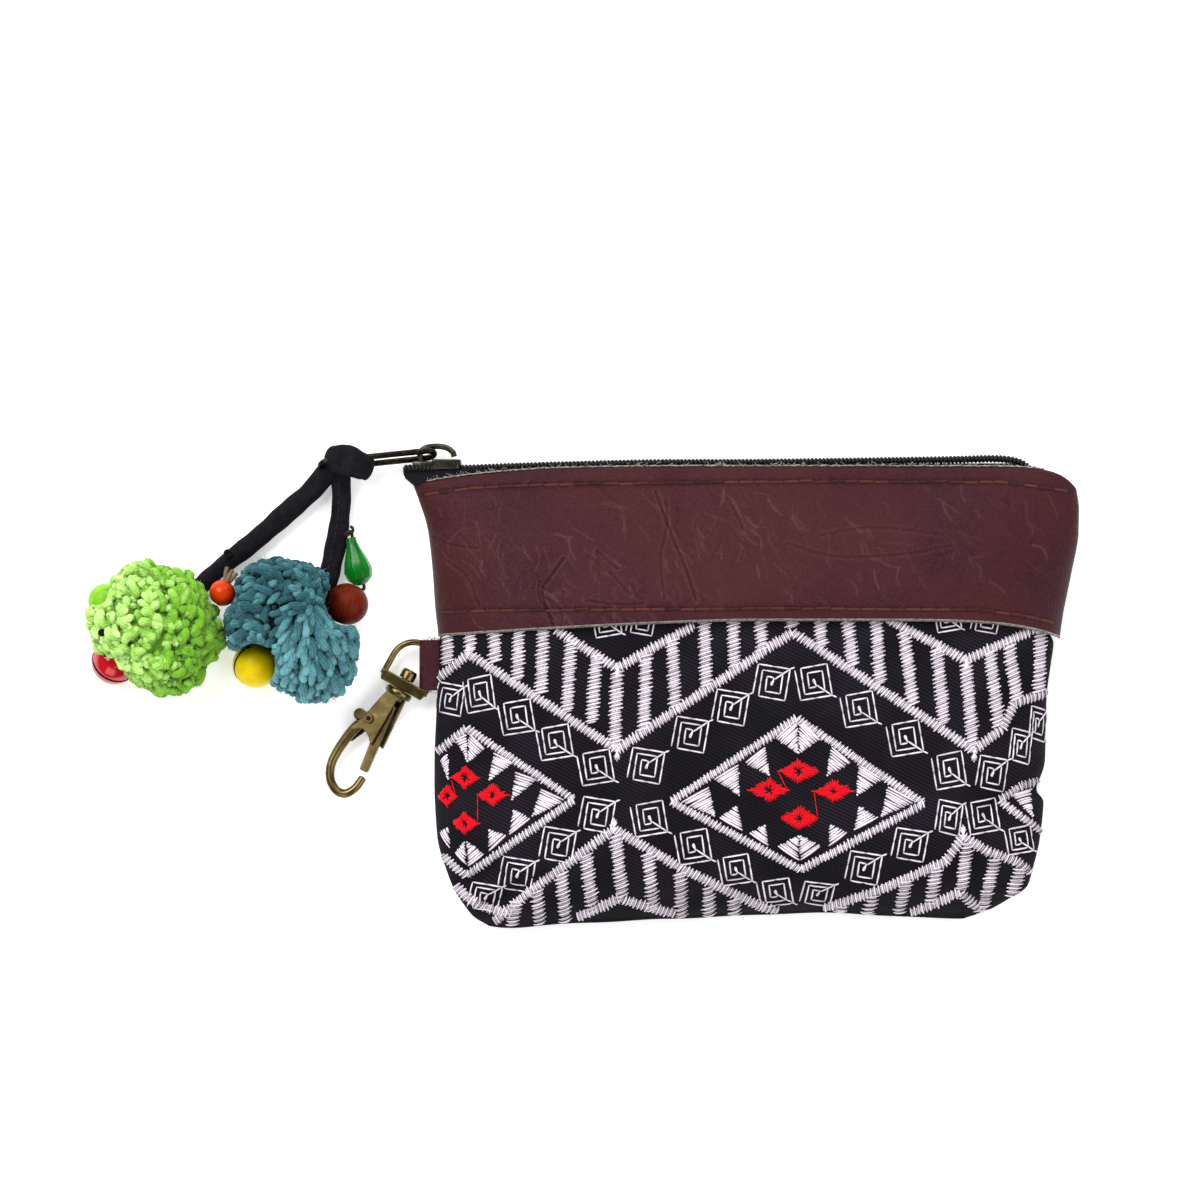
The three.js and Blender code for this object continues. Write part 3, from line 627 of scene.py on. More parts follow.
class Mesher:
    """Small helpers that turn arrays into finished mesh objects."""

    @staticmethod
    def make(
        name: str,
        points: Array,
        faces: Array | Sequence[Sequence[int]],
        materials: Sequence[Material],
        uv: Optional[Array] = None,
        tone: Optional[Array] = None,
    ) -> Item:
        """Build an object from points and faces.

        Args:
            name: Name of the object.
            points: Points in millimetres, one row each.
            faces: Corner indices of each face.
            materials: Materials, the first one used by default.
            uv: A pair for each point.
            tone: A number for each point.

        Returns:
            The linked object.
        """
        mesh = bpy.data.meshes.new(name)
        mesh.from_pydata((np.asarray(points) * MM).tolist(), [], [list(face) for face in faces])
        if uv is not None:
            corners = np.empty(len(mesh.loops), dtype=np.int32)
            mesh.loops.foreach_get("vertex_index", corners)
            layer = mesh.uv_layers.new(name="UVMap")
            layer.data.foreach_set("uv", np.asarray(uv, dtype=np.float32)[corners].ravel())
        if tone is not None:
            layer = mesh.attributes.new("tone", "FLOAT", "POINT")
            layer.data.foreach_set("value", np.asarray(tone, dtype=np.float32))
        for material in materials:
            mesh.materials.append(material)
        mesh.polygons.foreach_set("use_smooth", [True] * len(mesh.polygons))
        mesh.validate()
        mesh.update()
        item = bpy.data.objects.new(name, mesh)
        bpy.context.collection.objects.link(item)
        return item

    @staticmethod
    def grid_faces(rows: int, columns: int, closed: bool = False) -> Array:
        """Give the quads of a grid of points.

        Args:
            rows: Number of rows.
            columns: Points in a row.
            closed: True when the last column joins the first.

        Returns:
            Corner indices, four to a face.
        """
        across = columns if closed else columns - 1
        row, column = np.meshgrid(np.arange(rows - 1), np.arange(across), indexing="ij")
        following = (column + 1) % columns
        corners = (row * columns + column, row * columns + following)
        later = ((row + 1) * columns + following, (row + 1) * columns + column)
        return np.stack([*corners, *later], axis=-1).reshape(-1, 4)

    @staticmethod
    def outward(item: Item) -> Item:
        """Turn all normals outwards.

        Args:
            item: The object.

        Returns:
            The same object.
        """
        shell = bmesh.new()
        shell.from_mesh(item.data)
        bmesh.ops.recalc_face_normals(shell, faces=shell.faces)
        shell.to_mesh(item.data)
        shell.free()
        return item


class Tube:
    """A tube swept along a path, with a flat or round section."""

    def __init__(self, path: Sequence[Point], steps: int = 0) -> None:
        """Smooth a path and carry a steady frame along it.

        Args:
            path: Points in millimetres.
            steps: Points in the smoothed path, or nought to keep the given ones.
        """
        given = np.asarray(path, dtype=float)
        self.points = self.smoothed(given, steps) if steps else given
        ahead = np.gradient(self.points, axis=0)
        self.ahead = ahead / np.linalg.norm(ahead, axis=1, keepdims=True)
        side = np.cross([0.0, 0.0, 1.0], self.ahead[0])
        if np.linalg.norm(side) < 1e-6:
            side = np.array([1.0, 0.0, 0.0])
        sides = [side / np.linalg.norm(side)]
        for direction in self.ahead[1:]:
            side = sides[-1] - direction * np.dot(sides[-1], direction)
            sides.append(side / np.linalg.norm(side))
        self.side = np.array(sides)
        self.up = np.cross(self.ahead, self.side)

    @staticmethod
    def smoothed(given: Array, steps: int) -> Array:
        """Run a rounded curve through points.

        Args:
            given: The points.
            steps: Points wanted.

        Returns:
            Points spread evenly by count along the curve.
        """
        padded = np.vstack([2 * given[0] - given[1], given, 2 * given[-1] - given[-2]])
        where = np.linspace(0, len(given) - 1, steps)
        span = np.minimum(where.astype(int), len(given) - 2)
        part = (where - span)[:, None]
        before, first, second, after = (padded[span + shift] for shift in range(4))
        return 0.5 * (
            2 * first
            + (second - before) * part
            + (2 * before - 5 * first + 4 * second - after) * part**2
            + (3 * first - before - 3 * second + after) * part**3
        )

    def lengths(self) -> Array:
        """Give the distance run at each point."""
        steps = np.linalg.norm(np.diff(self.points, axis=0), axis=1)
        return np.concatenate([[0.0], np.cumsum(steps)])

    def skin(
        self, wide: Array | float, tall: Array | float, sides: int
    ) -> tuple[Array, Array, Array]:
        """Sweep an oval section and close both ends.

        Args:
            wide: Half width, or one for each point.
            tall: Half height, or one for each point.
            sides: Points round the section.

        Returns:
            Points, faces and UV in millimetres.
        """
        count = len(self.points)
        turn = np.linspace(0, math.tau, sides, endpoint=False)
        wide = np.broadcast_to(wide, count)[:, None, None]
        tall = np.broadcast_to(tall, count)[:, None, None]
        ring = self.side[:, None] * np.cos(turn)[None, :, None] * wide
        ring = ring + self.up[:, None] * np.sin(turn)[None, :, None] * tall
        points = (self.points[:, None] + ring).reshape(-1, 3)
        faces = Mesher.grid_faces(count, sides, closed=True)
        ends = np.stack([self.points[0], self.points[-1]])
        first, last = count * sides, count * sides + 1
        index = np.arange(sides)
        following = (index + 1) % sides
        top = (count - 1) * sides
        start_cap = np.stack([following, index, np.full(sides, first), np.full(sides, first)], 1)
        end_cap = np.stack([index + top, following + top, np.full(sides, last), np.full(sides, last)], 1)
        around = np.tile(turn / math.tau, count) * 4.0
        uv = np.stack([around, np.repeat(self.lengths(), sides)], axis=1)
        uv = np.vstack([uv, [[0.0, 0.0], [0.0, self.lengths()[-1]]]])
        return np.vstack([points, ends]), np.vstack([faces, start_cap, end_cap]), uv


class Heap:
    """Many small pieces gathered into one mesh."""

    def __init__(self) -> None:
        """Start empty."""
        self.points: list[Array] = []
        self.faces: list[list[int]] = []
        self.uvs: list[Array] = []
        self.tones: list[Array] = []
        self.count = 0

    def add(
        self,
        points: Array,
        faces: Array | Sequence[Sequence[int]],
        tone: Array | float = 0.5,
        uv: Optional[Array] = None,
    ) -> None:
        """Add one piece.

        Args:
            points: Its points in millimetres.
            faces: Its faces. A repeated last corner stands for a triangle.
            tone: Its tone, or one for each point.
            uv: A pair for each point.
        """
        for face in np.asarray(faces).tolist():
            corners = face[:3] if len(face) == 4 and face[2] == face[3] else face
            self.faces.append([corner + self.count for corner in corners])
        self.points.append(np.asarray(points, dtype=float))
        self.uvs.append(np.zeros((len(points), 2)) if uv is None else np.asarray(uv))
        self.tones.append(np.broadcast_to(np.asarray(tone, dtype=float), len(points)))
        self.count += len(points)

    def sweep(
        self, tube: Tube, wide: Array | float, tall: Array | float, sides: int, tone: float
    ) -> None:
        """Add a tube's skin in one tone."""
        points, faces, uv = tube.skin(wide, tall, sides)
        self.add(points, faces, tone, uv)

    def fibre(self, start: Array, way: Array, bend: Array, radius: float, tone: float) -> None:
        """Add one thin bent fibre."""
        path = np.maximum([start, start + way * 0.5 + bend, start + way], [-1e3, -1e3, 0.3])
        self.sweep(Tube(path, 5), radius, radius, 3, tone)

    def build(self, name: str, materials: Sequence[Material]) -> Item:
        """Make the object.

        Args:
            name: Name of the object.
            materials: Its materials.

        Returns:
            The object.
        """
        points = np.vstack(self.points)
        uv = np.vstack(self.uvs)
        return Mesher.make(name, points, self.faces, materials, uv, np.concatenate(self.tones))


class Rows:
    """Rows of measures joined by smooth curves that don't overshoot."""

    def __init__(self, rows: Sequence[Sequence[float]]) -> None:
        """Work out the slopes between rows.

        Args:
            rows: Measures of each row, in order.
        """
        self.table = np.asarray(rows, dtype=float)
        step = np.diff(self.table, axis=0)
        same = step[:-1] * step[1:] > 0
        total = np.where(same, step[:-1] + step[1:], 1.0)
        inner = np.where(same, 2 * step[:-1] * step[1:] / total, 0.0)
        self.slope = np.vstack([step[:1], inner, step[-1:]])
        self.last = len(self.table) - 1

    def at(self, place: Array) -> list[Array]:
        """Read every measure at places between rows.

        Args:
            place: Row numbers with fractions.

        Returns:
            One array for each measure.
        """
        place = np.clip(np.asarray(place, dtype=float), 0, self.last)
        row = np.minimum(place.astype(int), self.last - 1)
        part = (place - row)[..., None]
        low, high = self.table[row], self.table[row + 1]
        rise, fall = self.slope[row], self.slope[row + 1]
        square, cube = part**2, part**3
        mixed = (2 * cube - 3 * square + 1) * low + (cube - 2 * square + part) * rise
        mixed = mixed + (3 * square - 2 * cube) * high + (cube - square) * fall
        return [mixed[..., index] for index in range(mixed.shape[-1])]


class PurseForm:
    """The lying purse's surfaces: a flat back, a swelling front and a seam between them."""

    seam = 2.9
    cloth_round = 3.4
    # Each cloth row gives its height in the view, left, right, front, back and hem wave.
    cloth = Rows(
        [
            (17.0, -51.0, 71.3, 14.4, 1.7, 0.0),
            (11.0, -51.4, 70.5, 15.2, 1.7, 0.0),
            (8.6, -52.1, 71.2, 15.8, 1.2, 0.0),
            (4.0, -52.3, 70.6, 16.4, 0.0, 0.0),
            (-2.7, -52.4, 69.8, 17.0, 0.0, 0.0),
            (-14.7, -52.9, 69.5, 17.6, 0.0, 0.0),
            (-20.5, -52.9, 67.8, 17.4, 0.0, 0.0),
            (-23.3, -52.8, 69.2, 17.2, 0.0, 0.0),
            (-30.3, -52.3, 68.5, 16.6, 0.0, 0.1),
            (-36.5, -50.5, 67.1, 15.0, 0.0, 0.3),
            (-40.3, -48.9, 65.9, 13.2, 0.2, 0.5),
            (-42.9, -47.1, 62.2, 11.0, 0.6, 0.7),
            (-45.3, -45.0, 58.0, 8.4, 1.2, 0.9),
            (-46.9, -42.2, 53.4, 5.6, 2.0, 1.0),
        ]
    )
    # Each leather row gives left, its height, middle height, right, its height, bends, front and round.
    leather = Rows(
        [
            (-57.1, 40.3, 43.6, 75.8, 39.5, 3.8, 20.0, 6.6, 10.0),
            (-55.8, 36.7, 38.4, 76.3, 35.4, 6.0, 16.0, 8.4, 8.0),
            (-54.2, 31.3, 31.3, 76.2, 30.5, 4.0, 8.0, 11.4, 5.0),
            (-53.3, 23.7, 24.0, 74.7, 22.3, 3.0, 8.0, 14.2, 4.0),
            (-52.7, 15.5, 17.5, 73.1, 14.3, 2.0, 7.0, 16.4, 3.4),
            (-52.1, 10.5, 13.6, 72.5, 10.1, 1.4, 7.0, 17.1, 3.4),
        ]
    )
    # Each fold runs between two points and has a depth and a width.
    folds = (
        (68.5, -20.5, 58.0, -24.0, 2.2, 2.6),
        (-50.0, -40.5, -40.0, -36.0, 1.6, 2.4),
        (64.0, -40.0, 54.0, -35.0, 1.6, 2.4),
        (-30.0, 24.0, -28.0, 10.0, 0.7, 3.0),
        (-4.0, 40.0, 2.0, 18.0, 0.8, 3.5),
        (-20.0, -46.0, 8.0, -41.0, 0.9, 3.0),
        (-42.5, -43.5, -31.0, -37.0, 1.8, 1.3),
    )
    # Soft waves of the cloth have a direction, a length, a start and a height.
    ripples = ((0.5, 31.0, 0.4, 0.22), (1.9, 19.0, 2.1, 0.16), (-0.5, 13.0, 1.2, 0.1), (1.2, 8.5, 0.0, 0.06))
    # Waves of the bottom edge have a place across, a width and a height.
    hem = (
        (-0.92, 0.18, -1.2), (-0.3, 0.16, 0.6), (0.02, 0.22, 1.1), (0.42, 0.29, 2.0), (0.8, 0.18, 0.7),
        (1.0, 0.14, 0.2),
    )

    def fold_depth(self, x: Array, y: Array) -> Array:
        """Give how far folds press the surface in.

        Args:
            x: Places across.
            y: Places along.

        Returns:
            Depths in millimetres.
        """
        depth = np.zeros(np.broadcast(x, y).shape)
        for from_x, from_y, to_x, to_y, deep, width in self.folds:
            run_x, run_y = to_x - from_x, to_y - from_y
            part = ((x - from_x) * run_x + (y - from_y) * run_y) / (run_x**2 + run_y**2)
            part = np.clip(part, 0, 1)
            off = np.hypot(x - from_x - part * run_x, y - from_y - part * run_y)
            depth = depth + deep * np.exp(-((off / width) ** 2))
        return depth

    def ripple(self, x: Array, y: Array) -> Array:
        """Give the cloth's soft waves.

        Args:
            x: Places across.
            y: Places along.

        Returns:
            Heights in millimetres.
        """
        total = np.zeros(np.broadcast(x, y).shape)
        for way, length, start, height in self.ripples:
            run = x * math.cos(way) + y * math.sin(way)
            total = total + height * np.sin(run * math.tau / length + start)
        return total

    def hem_lift(self, across: Array) -> Array:
        """Give the waves of the bottom edge."""
        return sum(lift * np.exp(-(((across - at) / width) ** 2)) for at, width, lift in self.hem)

    def cloth_plan(self, place: Array, across: Array) -> tuple[Array, Array]:
        """Give the cloth's place in the view.

        Args:
            place: Row numbers.
            across: Places from minus one to one.

        Returns:
            X and Y.
        """
        y, left, right, _, _, wave = self.cloth.at(place)
        x = (left + right) / 2 + (right - left) / 2 * across
        return x, y + wave * self.hem_lift(across)

    def cloth_front(self, place: Array, across: Array) -> Array:
        """Give points of the cloth's front.

        Args:
            place: Row numbers.
            across: Places from minus one to one.

        Returns:
            Points, the last axis being X, Y and Z.
        """
        x, y = self.cloth_plan(place, across)
        front = self.cloth.at(place)[3]
        dome = np.sqrt(np.maximum(1 - np.abs(across) ** self.cloth_round, 0))
        crown = (front - self.seam) * dome
        z = self.seam + crown - np.minimum(self.fold_depth(x, y), crown / 2)
        return np.stack([x, y, z + self.ripple(x, y) * dome], axis=-1)

    def cloth_back(self, place: Array, across: Array) -> Array:
        """Give points of the cloth's back.

        Args:
            place: Row numbers.
            across: Places from minus one to one.

        Returns:
            Points, the last axis being X, Y and Z.
        """
        x, y = self.cloth_plan(place, across)
        low = self.cloth.at(place)[4] + 0.02
        return np.stack([x, y, low + (self.seam - low) * np.abs(across) ** 12], axis=-1)

    def leather_plan(self, place: Array, across: Array) -> tuple[Array, Array]:
        """Give the leather's place in the view.

        Args:
            place: Row numbers.
            across: Places from minus one to one.

        Returns:
            X and Y.
        """
        left, left_y, middle_y, right, right_y, left_bend, right_bend, _, _ = self.leather.at(place)
        x = (left + right) / 2 + (right - left) / 2 * across
        end = np.where(across < 0, left_y, right_y)
        bend = np.where(across < 0, left_bend, right_bend)
        return x, middle_y + (end - middle_y) * np.abs(across) ** bend

    def leather_front(self, place: Array, across: Array) -> Array:
        """Give points of the front leather.

        Args:
            place: Row numbers.
            across: Places from minus one to one.

        Returns:
            Points, the last axis being X, Y and Z.
        """
        x, y = self.leather_plan(place, across)
        *_, front, round_ = self.leather.at(place)
        dome = np.sqrt(np.maximum(1 - np.abs(across) ** round_, 0))
        crown = (front - self.seam) * dome
        z = self.seam + 0.15 + crown - np.minimum(self.fold_depth(x, y), crown / 2)
        return np.stack([x, y, z + self.ripple(x, y) * dome * 0.55], axis=-1)

    def on_cloth(self, x: Array, y: Array) -> tuple[Array, Array]:
        """Lay places of the view on the cloth's front."""
        return self.laid(x, y, self.cloth, self.cloth_plan, self.cloth_front)

    def on_leather(self, x: Array, y: Array) -> tuple[Array, Array]:
        """Lay places of the view on the front leather."""
        return self.laid(x, y, self.leather, self.leather_plan, self.leather_front)

    @staticmethod
    def laid(
        x: Array, y: Array, rows: Rows, plan: Plan, surface: Surface
    ) -> tuple[Array, Array]:
        """Find the row and the place across for places in the view.

        Args:
            x: Places across.
            y: Places along.
            rows: The surface's rows.
            plan: Gives X and Y from row and place across.
            surface: Gives points from row and place across.

        Returns:
            Points and unit normals.
        """
        x, y = np.asarray(x, dtype=float), np.asarray(y, dtype=float)
        low, high = np.zeros(x.shape), np.full(x.shape, float(rows.last))
        across = np.zeros(x.shape)
        for _ in range(26):
            place = (low + high) / 2
            start, _ = plan(place, -np.ones(x.shape))
            end, _ = plan(place, np.ones(x.shape))
            across = np.clip((2 * x - start - end) / (end - start), -0.999, 0.999)
            above = plan(place, across)[1] > y
            low, high = np.where(above, place, low), np.where(above, high, place)
        point = surface(place, across)
        before, after = np.maximum(place - 0.02, 0), np.minimum(place + 0.02, rows.last)
        left, right = np.maximum(across - 0.002, -1), np.minimum(across + 0.002, 1)
        along = surface(after, across) - surface(before, across)
        over = surface(place, right) - surface(place, left)
        normal = np.cross(along, over)
        size = np.linalg.norm(normal, axis=-1, keepdims=True)
        return point, normal / np.maximum(size, 1e-9)


class Dresser:
    """Ties finished pieces to their bodies and hides the solids that they replace."""

    @staticmethod
    def done(item: Item, slot: Slot, *nodes: str, body: Body = Body.PURSE) -> Item:
        """Tie a piece to its body and hide the solids that it replaces.

        Args:
            item: The finished object.
            slot: Its material slot. Not used.
            nodes: The solids that it replaces.
            body: The body that it rides on.

        Returns:
            The same object.
        """
        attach(item, body.value)
        if nodes:
            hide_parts(*nodes)
        LOG.info("%s: %d faces", item.name, len(item.data.polygons))
        return item


@dataclass
class ClothPouch:
    """The embroidered pouch's black twill, one folded cloth with a seam up each side."""

    form: PurseForm
    finishes: Finishes
    columns: int = 120
    rows: int = 110
    bottom_round: float = 0.5
    bottom_height: float = 3.6

    def build(self) -> None:
        """Make the pouch."""
        place = np.linspace(0, self.form.cloth.last, self.rows)[:, None]
        across = np.sin(np.linspace(-1, 1, self.columns) * math.pi / 2)[None, :]
        front = self.form.cloth_front(place, across)
        back = self.form.cloth_back(place, across[:, ::-1])[:, 1:-1]
        rings = np.concatenate([front, back], axis=1)
        middle = rings[-1].copy()
        middle[:, 2] = self.bottom_height
        swell = np.sqrt(1 - np.abs(np.concatenate([across[0], across[0, ::-1][1:-1]])) ** 6)
        closing = []
        for turn in np.linspace(0, math.pi / 2, 6)[1:]:
            ring = middle + (rings[-1] - middle) * math.cos(turn)
            ring[:, 1] -= self.bottom_round * math.sin(turn) * swell
            closing.append(ring)
        rings = np.concatenate([rings, np.stack(closing)], axis=0)
        count = rings.shape[1]
        uv = self.unrolled(rings)
        faces = Mesher.grid_faces(rings.shape[0], count, closed=True)
        item = Mesher.make("cloth_pouch", rings.reshape(-1, 3), faces, [self.finishes.twill], uv)
        self.weld(item)
        Mesher.outward(item)
        Dresser.done(item, Slot.CLOTH, "fabric_pouch")

    @staticmethod
    def unrolled(rings: Array) -> Array:
        """Measure the cloth flat, so that its weave doesn't stretch.

        Args:
            rings: Points of each ring.

        Returns:
            A pair for each point, in millimetres.
        """
        step = np.linalg.norm(np.diff(rings, axis=1), axis=2)
        run = np.concatenate([np.zeros((rings.shape[0], 1)), np.cumsum(step, axis=1)], axis=1)
        run = run - run[:, rings.shape[1] // 4][:, None]
        fall = np.linalg.norm(np.diff(rings, axis=0), axis=2).mean(axis=1)
        drop = -np.concatenate([[0.0], np.cumsum(fall)])
        return np.stack([run, np.broadcast_to(drop[:, None], run.shape)], axis=-1).reshape(-1, 2)

    @staticmethod
    def weld(item: Item) -> None:
        """Join the front and back along the bottom fold.

        Args:
            item: The pouch.
        """
        shell = bmesh.new()
        shell.from_mesh(item.data)
        bmesh.ops.remove_doubles(shell, verts=shell.verts, dist=0.02 * MM)
        shell.to_mesh(item.data)
        shell.free()


@dataclass
class LeatherBands:
    """The leather sewn over the top of the pouch, with a turned top edge and a raw lower edge."""

    form: PurseForm
    finishes: Finishes
    columns: int = 620
    rows: int = 146
    thick: float = 1.25
    raw: float = 0.55
    turned: float = 0.5
    strokes: int = 420
    frays: int = 240
    stitch: float = 3.0
    first_hole: float = 0.6
    thread: Pair = (0.29, 0.26)
    hole: float = 0.3
    grooves: Pair = (0.34, 0.3)
    groove_width: float = 0.62
    # Stitch lines run through these places of the view.
    top_line: Pairs = (
        (-55.5, 38.3), (-45.3, 39.7), (-27.7, 40.5), (20.0, 41.0), (60.3, 40.9), (74.6, 39.0)
    )
    low_line: Pairs = (
        (-52.3, 14.9), (-27.7, 15.3), (20.0, 15.6), (56.3, 15.3), (66.0, 14.0), (72.8, 12.3)
    )
    # Sharp creases run through places of the view and have a depth.
    creases: tuple[tuple[float, Pairs], ...] = (
        (0.2, ((-8.5, 38.9), (-5.1, 29.7), (-2.3, 22.9), (-0.5, 17.3))),
        (0.12, ((-6.5, 37.4), (-6.3, 32.0), (-7.6, 25.8), (-6.8, 17.6))),
        (0.22, ((-27.0, 25.6), (-29.8, 21.6), (-31.2, 18.6), (-28.9, 11.8))),
        (0.16, ((-31.8, 21.0), (-31.6, 17.4), (-30.0, 15.4))),
        (0.13, ((-17.7, 22.9), (-13.5, 18.4))),
        (0.12, ((-20.3, 27.1), (-16.1, 23.5))),
        (0.14, ((-22.5, 17.2), (-16.0, 16.4), (-11.0, 16.6))),
        (0.12, ((5.7, 37.8), (8.1, 33.6), (8.9, 31.0))),
        (0.1, ((17.6, 28.6), (27.3, 26.0), (40.0, 26.4), (50.6, 28.2))),
        (0.08, ((24.0, 30.2), (35.0, 31.8), (49.0, 30.4))),
        (0.1, ((-53.0, 30.0), (-49.5, 28.4), (-44.0, 27.6))),
        (0.1, ((-50.5, 25.2), (-46.4, 22.0), (-43.8, 16.0))),
    )

    def line_height(self, line: Pairs, x: Array) -> Array:
        """Give a stitch line's place along the view."""
        return np.interp(x, [pair[0] for pair in line], [pair[1] for pair in line])

    @staticmethod
    def nearest(x: Array, y: Array, path: Sequence[Pair], steps: int = 20) -> Array:
        """Give the distance from places to a curved line.

        Args:
            x: Places across.
            y: Places along.
            path: Places that the line runs through.
            steps: Points along the line.

        Returns:
            Distances in millimetres.
        """
        smooth = Tube.smoothed(np.array([(*pair, 0.0) for pair in path]), steps)[:, :2]
        low, high = smooth.min(axis=0) - 2.5, smooth.max(axis=0) + 2.5
        close = (x > low[0]) & (x < high[0]) & (y > low[1]) & (y < high[1])
        near_x, near_y = x[close], y[close]
        best = np.full(near_x.shape, 1e9)
        for first, second in zip(smooth[:-1], smooth[1:]):
            run = second - first
            off_x, off_y = near_x - first[0], near_y - first[1]
            part = np.clip((off_x * run[0] + off_y * run[1]) / np.dot(run, run), 0, 1)
            best = np.minimum(best, np.hypot(off_x - part * run[0], off_y - part * run[1]))
        far = np.full(x.shape, 1e9)
        far[close] = best
        return far

    def dents(self, points: Array) -> Array:
        """Give how far stitches and creases press the leather in.

        Args:
            points: Points of the outer face.

        Returns:
            Depths in millimetres.
        """
        x, y = points[..., 0], points[..., 1]
        depth = np.zeros(x.shape)
        for line, deep in zip((self.top_line, self.low_line), self.grooves):
            off = y - self.line_height(line, x)
            pucker = 0.75 + 0.25 * np.cos(x * math.tau / self.stitch)
            depth = depth + deep * pucker * np.exp(-((off / self.groove_width) ** 2))
        for deep, path in self.creases:
            nearest = self.nearest(x, y, path)
            depth = depth + deep * 0.8 * np.exp(-((nearest / 0.32) ** 2))
            depth = depth - deep * 0.3 * np.exp(-(((nearest - 0.8) / 0.6) ** 2))
        return depth

    def painted_shade_and_wrinkle_tone(self, points: Array) -> Array:
        """Give the tone of stitch lines, creases and fine wrinkles: painted shade along the stitch grooves, at the
        needle holes and in the creases, painted highlight on the crease lips, and random pale and dark wrinkle marks.

        Args:
            points: Points of the outer face.

        Returns:
            Tones, paler above nought and darker below it.
        """
        chance = np.random.default_rng(3)
        x, y = points[..., 0], points[..., 1]
        tone = np.zeros(x.shape)
        # Painted shade along each stitch groove, darkest at the needle holes.
        for line in (self.top_line, self.low_line):
            holes = np.cos((x - line[0][0] - self.first_hole) * math.pi / self.stitch) ** 8
            off = (y - self.line_height(line, x)) / 0.5
            tone = tone - (0.22 + 0.5 * holes) * np.exp(-(off**2))
        # Painted shade in each crease and painted highlight on its lips.
        for deep, path in self.creases:
            near = self.nearest(x, y, path)
            tone = tone - deep * 4.5 * np.exp(-((near / 0.2) ** 2))
            tone = tone + deep * 2.2 * np.exp(-(((near - 0.5) / 0.26) ** 2))
        for _ in range(self.strokes):
            home = np.array([chance.uniform(-52, 72), chance.uniform(12, 42)])
            if chance.random() < 0.6:
                _, path = self.creases[chance.integers(len(self.creases))]
                home = np.array(path[chance.integers(len(path))]) + chance.normal(0, 3.4, 2)
            turn = math.radians(chance.normal(-60, 26))
            run = np.array([math.cos(turn), math.sin(turn)]) * chance.uniform(1.6, 5.5)
            middle = home + run * 0.5 + np.array([-run[1], run[0]]) * chance.normal(0, 0.12)
            near = self.nearest(x, y, (tuple(home), tuple(middle), tuple(home + run)), 6)
            tone = tone + chance.normal(0.12, 0.36) * np.exp(-((near / chance.uniform(0.14, 0.24)) ** 2))
        return np.clip(tone, -1, 1)

    def front(self) -> None:
        """Make the front band."""
        place = np.linspace(0, self.form.leather.last, self.rows)[:, None]
        even = np.linspace(-1, 1, self.columns)[None, :]
        across = 0.5 * even + 0.5 * np.sin(even * math.pi / 2)
        outer = self.form.leather_front(place, across)
        fade = np.sqrt(1 - np.abs(across) ** 6)
        outer[..., 2] -= self.dents(outer) * fade
        top, low = outer[0], outer[-1]
        thin = 0.25 + (self.thick - 0.25) * fade[0]
        rims = []
        for turn in np.linspace(math.pi / 2, math.pi / 10, 4):
            ring = top.copy()
            ring[:, 1] += self.turned * math.sin(turn) * fade[0]
            ring[:, 2] -= thin * (0.5 + 0.5 * math.sin(turn - math.pi / 10))
            rims.append(ring)
        tuck = top.copy()
        tuck[:, 1] -= 1.6 * fade[0]
        tuck[:, 2] -= thin
        edge = low.copy()
        edge[:, 1] -= self.raw
        edge[:, 2] -= thin
        lip = outer[-6].copy()
        lip[:, 2] -= thin
        rings = np.concatenate([tuck[None], np.stack(rims), outer, edge[None], lip[None]], axis=0)
        faces = Mesher.grid_faces(rings.shape[0], self.columns)
        materials = [self.finishes.leather, self.finishes.raw_edge]
        # The outer face's tone holds the painted shade, the painted highlight and the wrinkle marks.
        shade_and_wrinkle_marks = np.zeros(rings.shape[:2])
        shade_and_wrinkle_marks[5:-2] = self.painted_shade_and_wrinkle_tone(outer)
        points = rings.reshape(-1, 3)
        item = Mesher.make("leather_front", points, faces[:, ::-1], materials, tone=shade_and_wrinkle_marks.reshape(-1))
        raw_row = rings.shape[0] - 3
        index = np.repeat(np.arange(rings.shape[0] - 1), self.columns - 1)
        item.data.polygons.foreach_set("material_index", (index == raw_row).astype(np.int32))
        item.data.update()
        Dresser.done(item, Slot.LEATHER, "leather_band_front")

    def back(self) -> None:
        """Make the back band."""
        place = np.linspace(0, self.form.leather.last, 40)[:, None]
        across = np.sin(np.linspace(-1, 1, 90) * math.pi / 2)[None, :]
        x, y = self.form.leather_plan(place, across)
        rise = (self.form.seam - 0.15) * np.abs(across) ** 12
        outer = np.stack(np.broadcast_arrays(x, y, 0.02 + rise), axis=-1)
        inner = outer.copy()
        inner[..., 2] += 0.2 + (self.thick - 0.2) * (1 - np.abs(across) ** 12)
        rings = np.concatenate([outer, inner[::-1]], axis=0)
        faces = Mesher.grid_faces(rings.shape[0], rings.shape[1])
        count = rings.shape[1]
        last = (rings.shape[0] - 1) * count
        seam = [[column + 1, column, last + column, last + column + 1] for column in range(count - 1)]
        item = Mesher.make("leather_back", rings.reshape(-1, 3), [*faces, *seam], [self.finishes.leather])
        Dresser.done(Mesher.outward(item), Slot.LEATHER, "leather_band_back")

    def stitches(self) -> None:
        """Sew both stitch lines."""
        heap = Heap()
        chance = np.random.default_rng(7)
        for line in (self.top_line, self.low_line):
            for start in np.arange(line[0][0] + self.first_hole, line[-1][0] - 2.6, self.stitch):
                x = np.linspace(start + 0.12, start + 2.88, 9)
                y = self.line_height(line, x) + chance.normal(0, 0.06)
                point, normal = self.form.on_leather(x, y)
                lift = 0.22 * np.sqrt(np.clip(np.sin(np.linspace(0, math.pi, 9)), 0, 1)) - 0.28
                tube = Tube(point + normal * lift[:, None])
                heap.sweep(tube, *self.thread, 6, chance.uniform(0.1, 0.9))
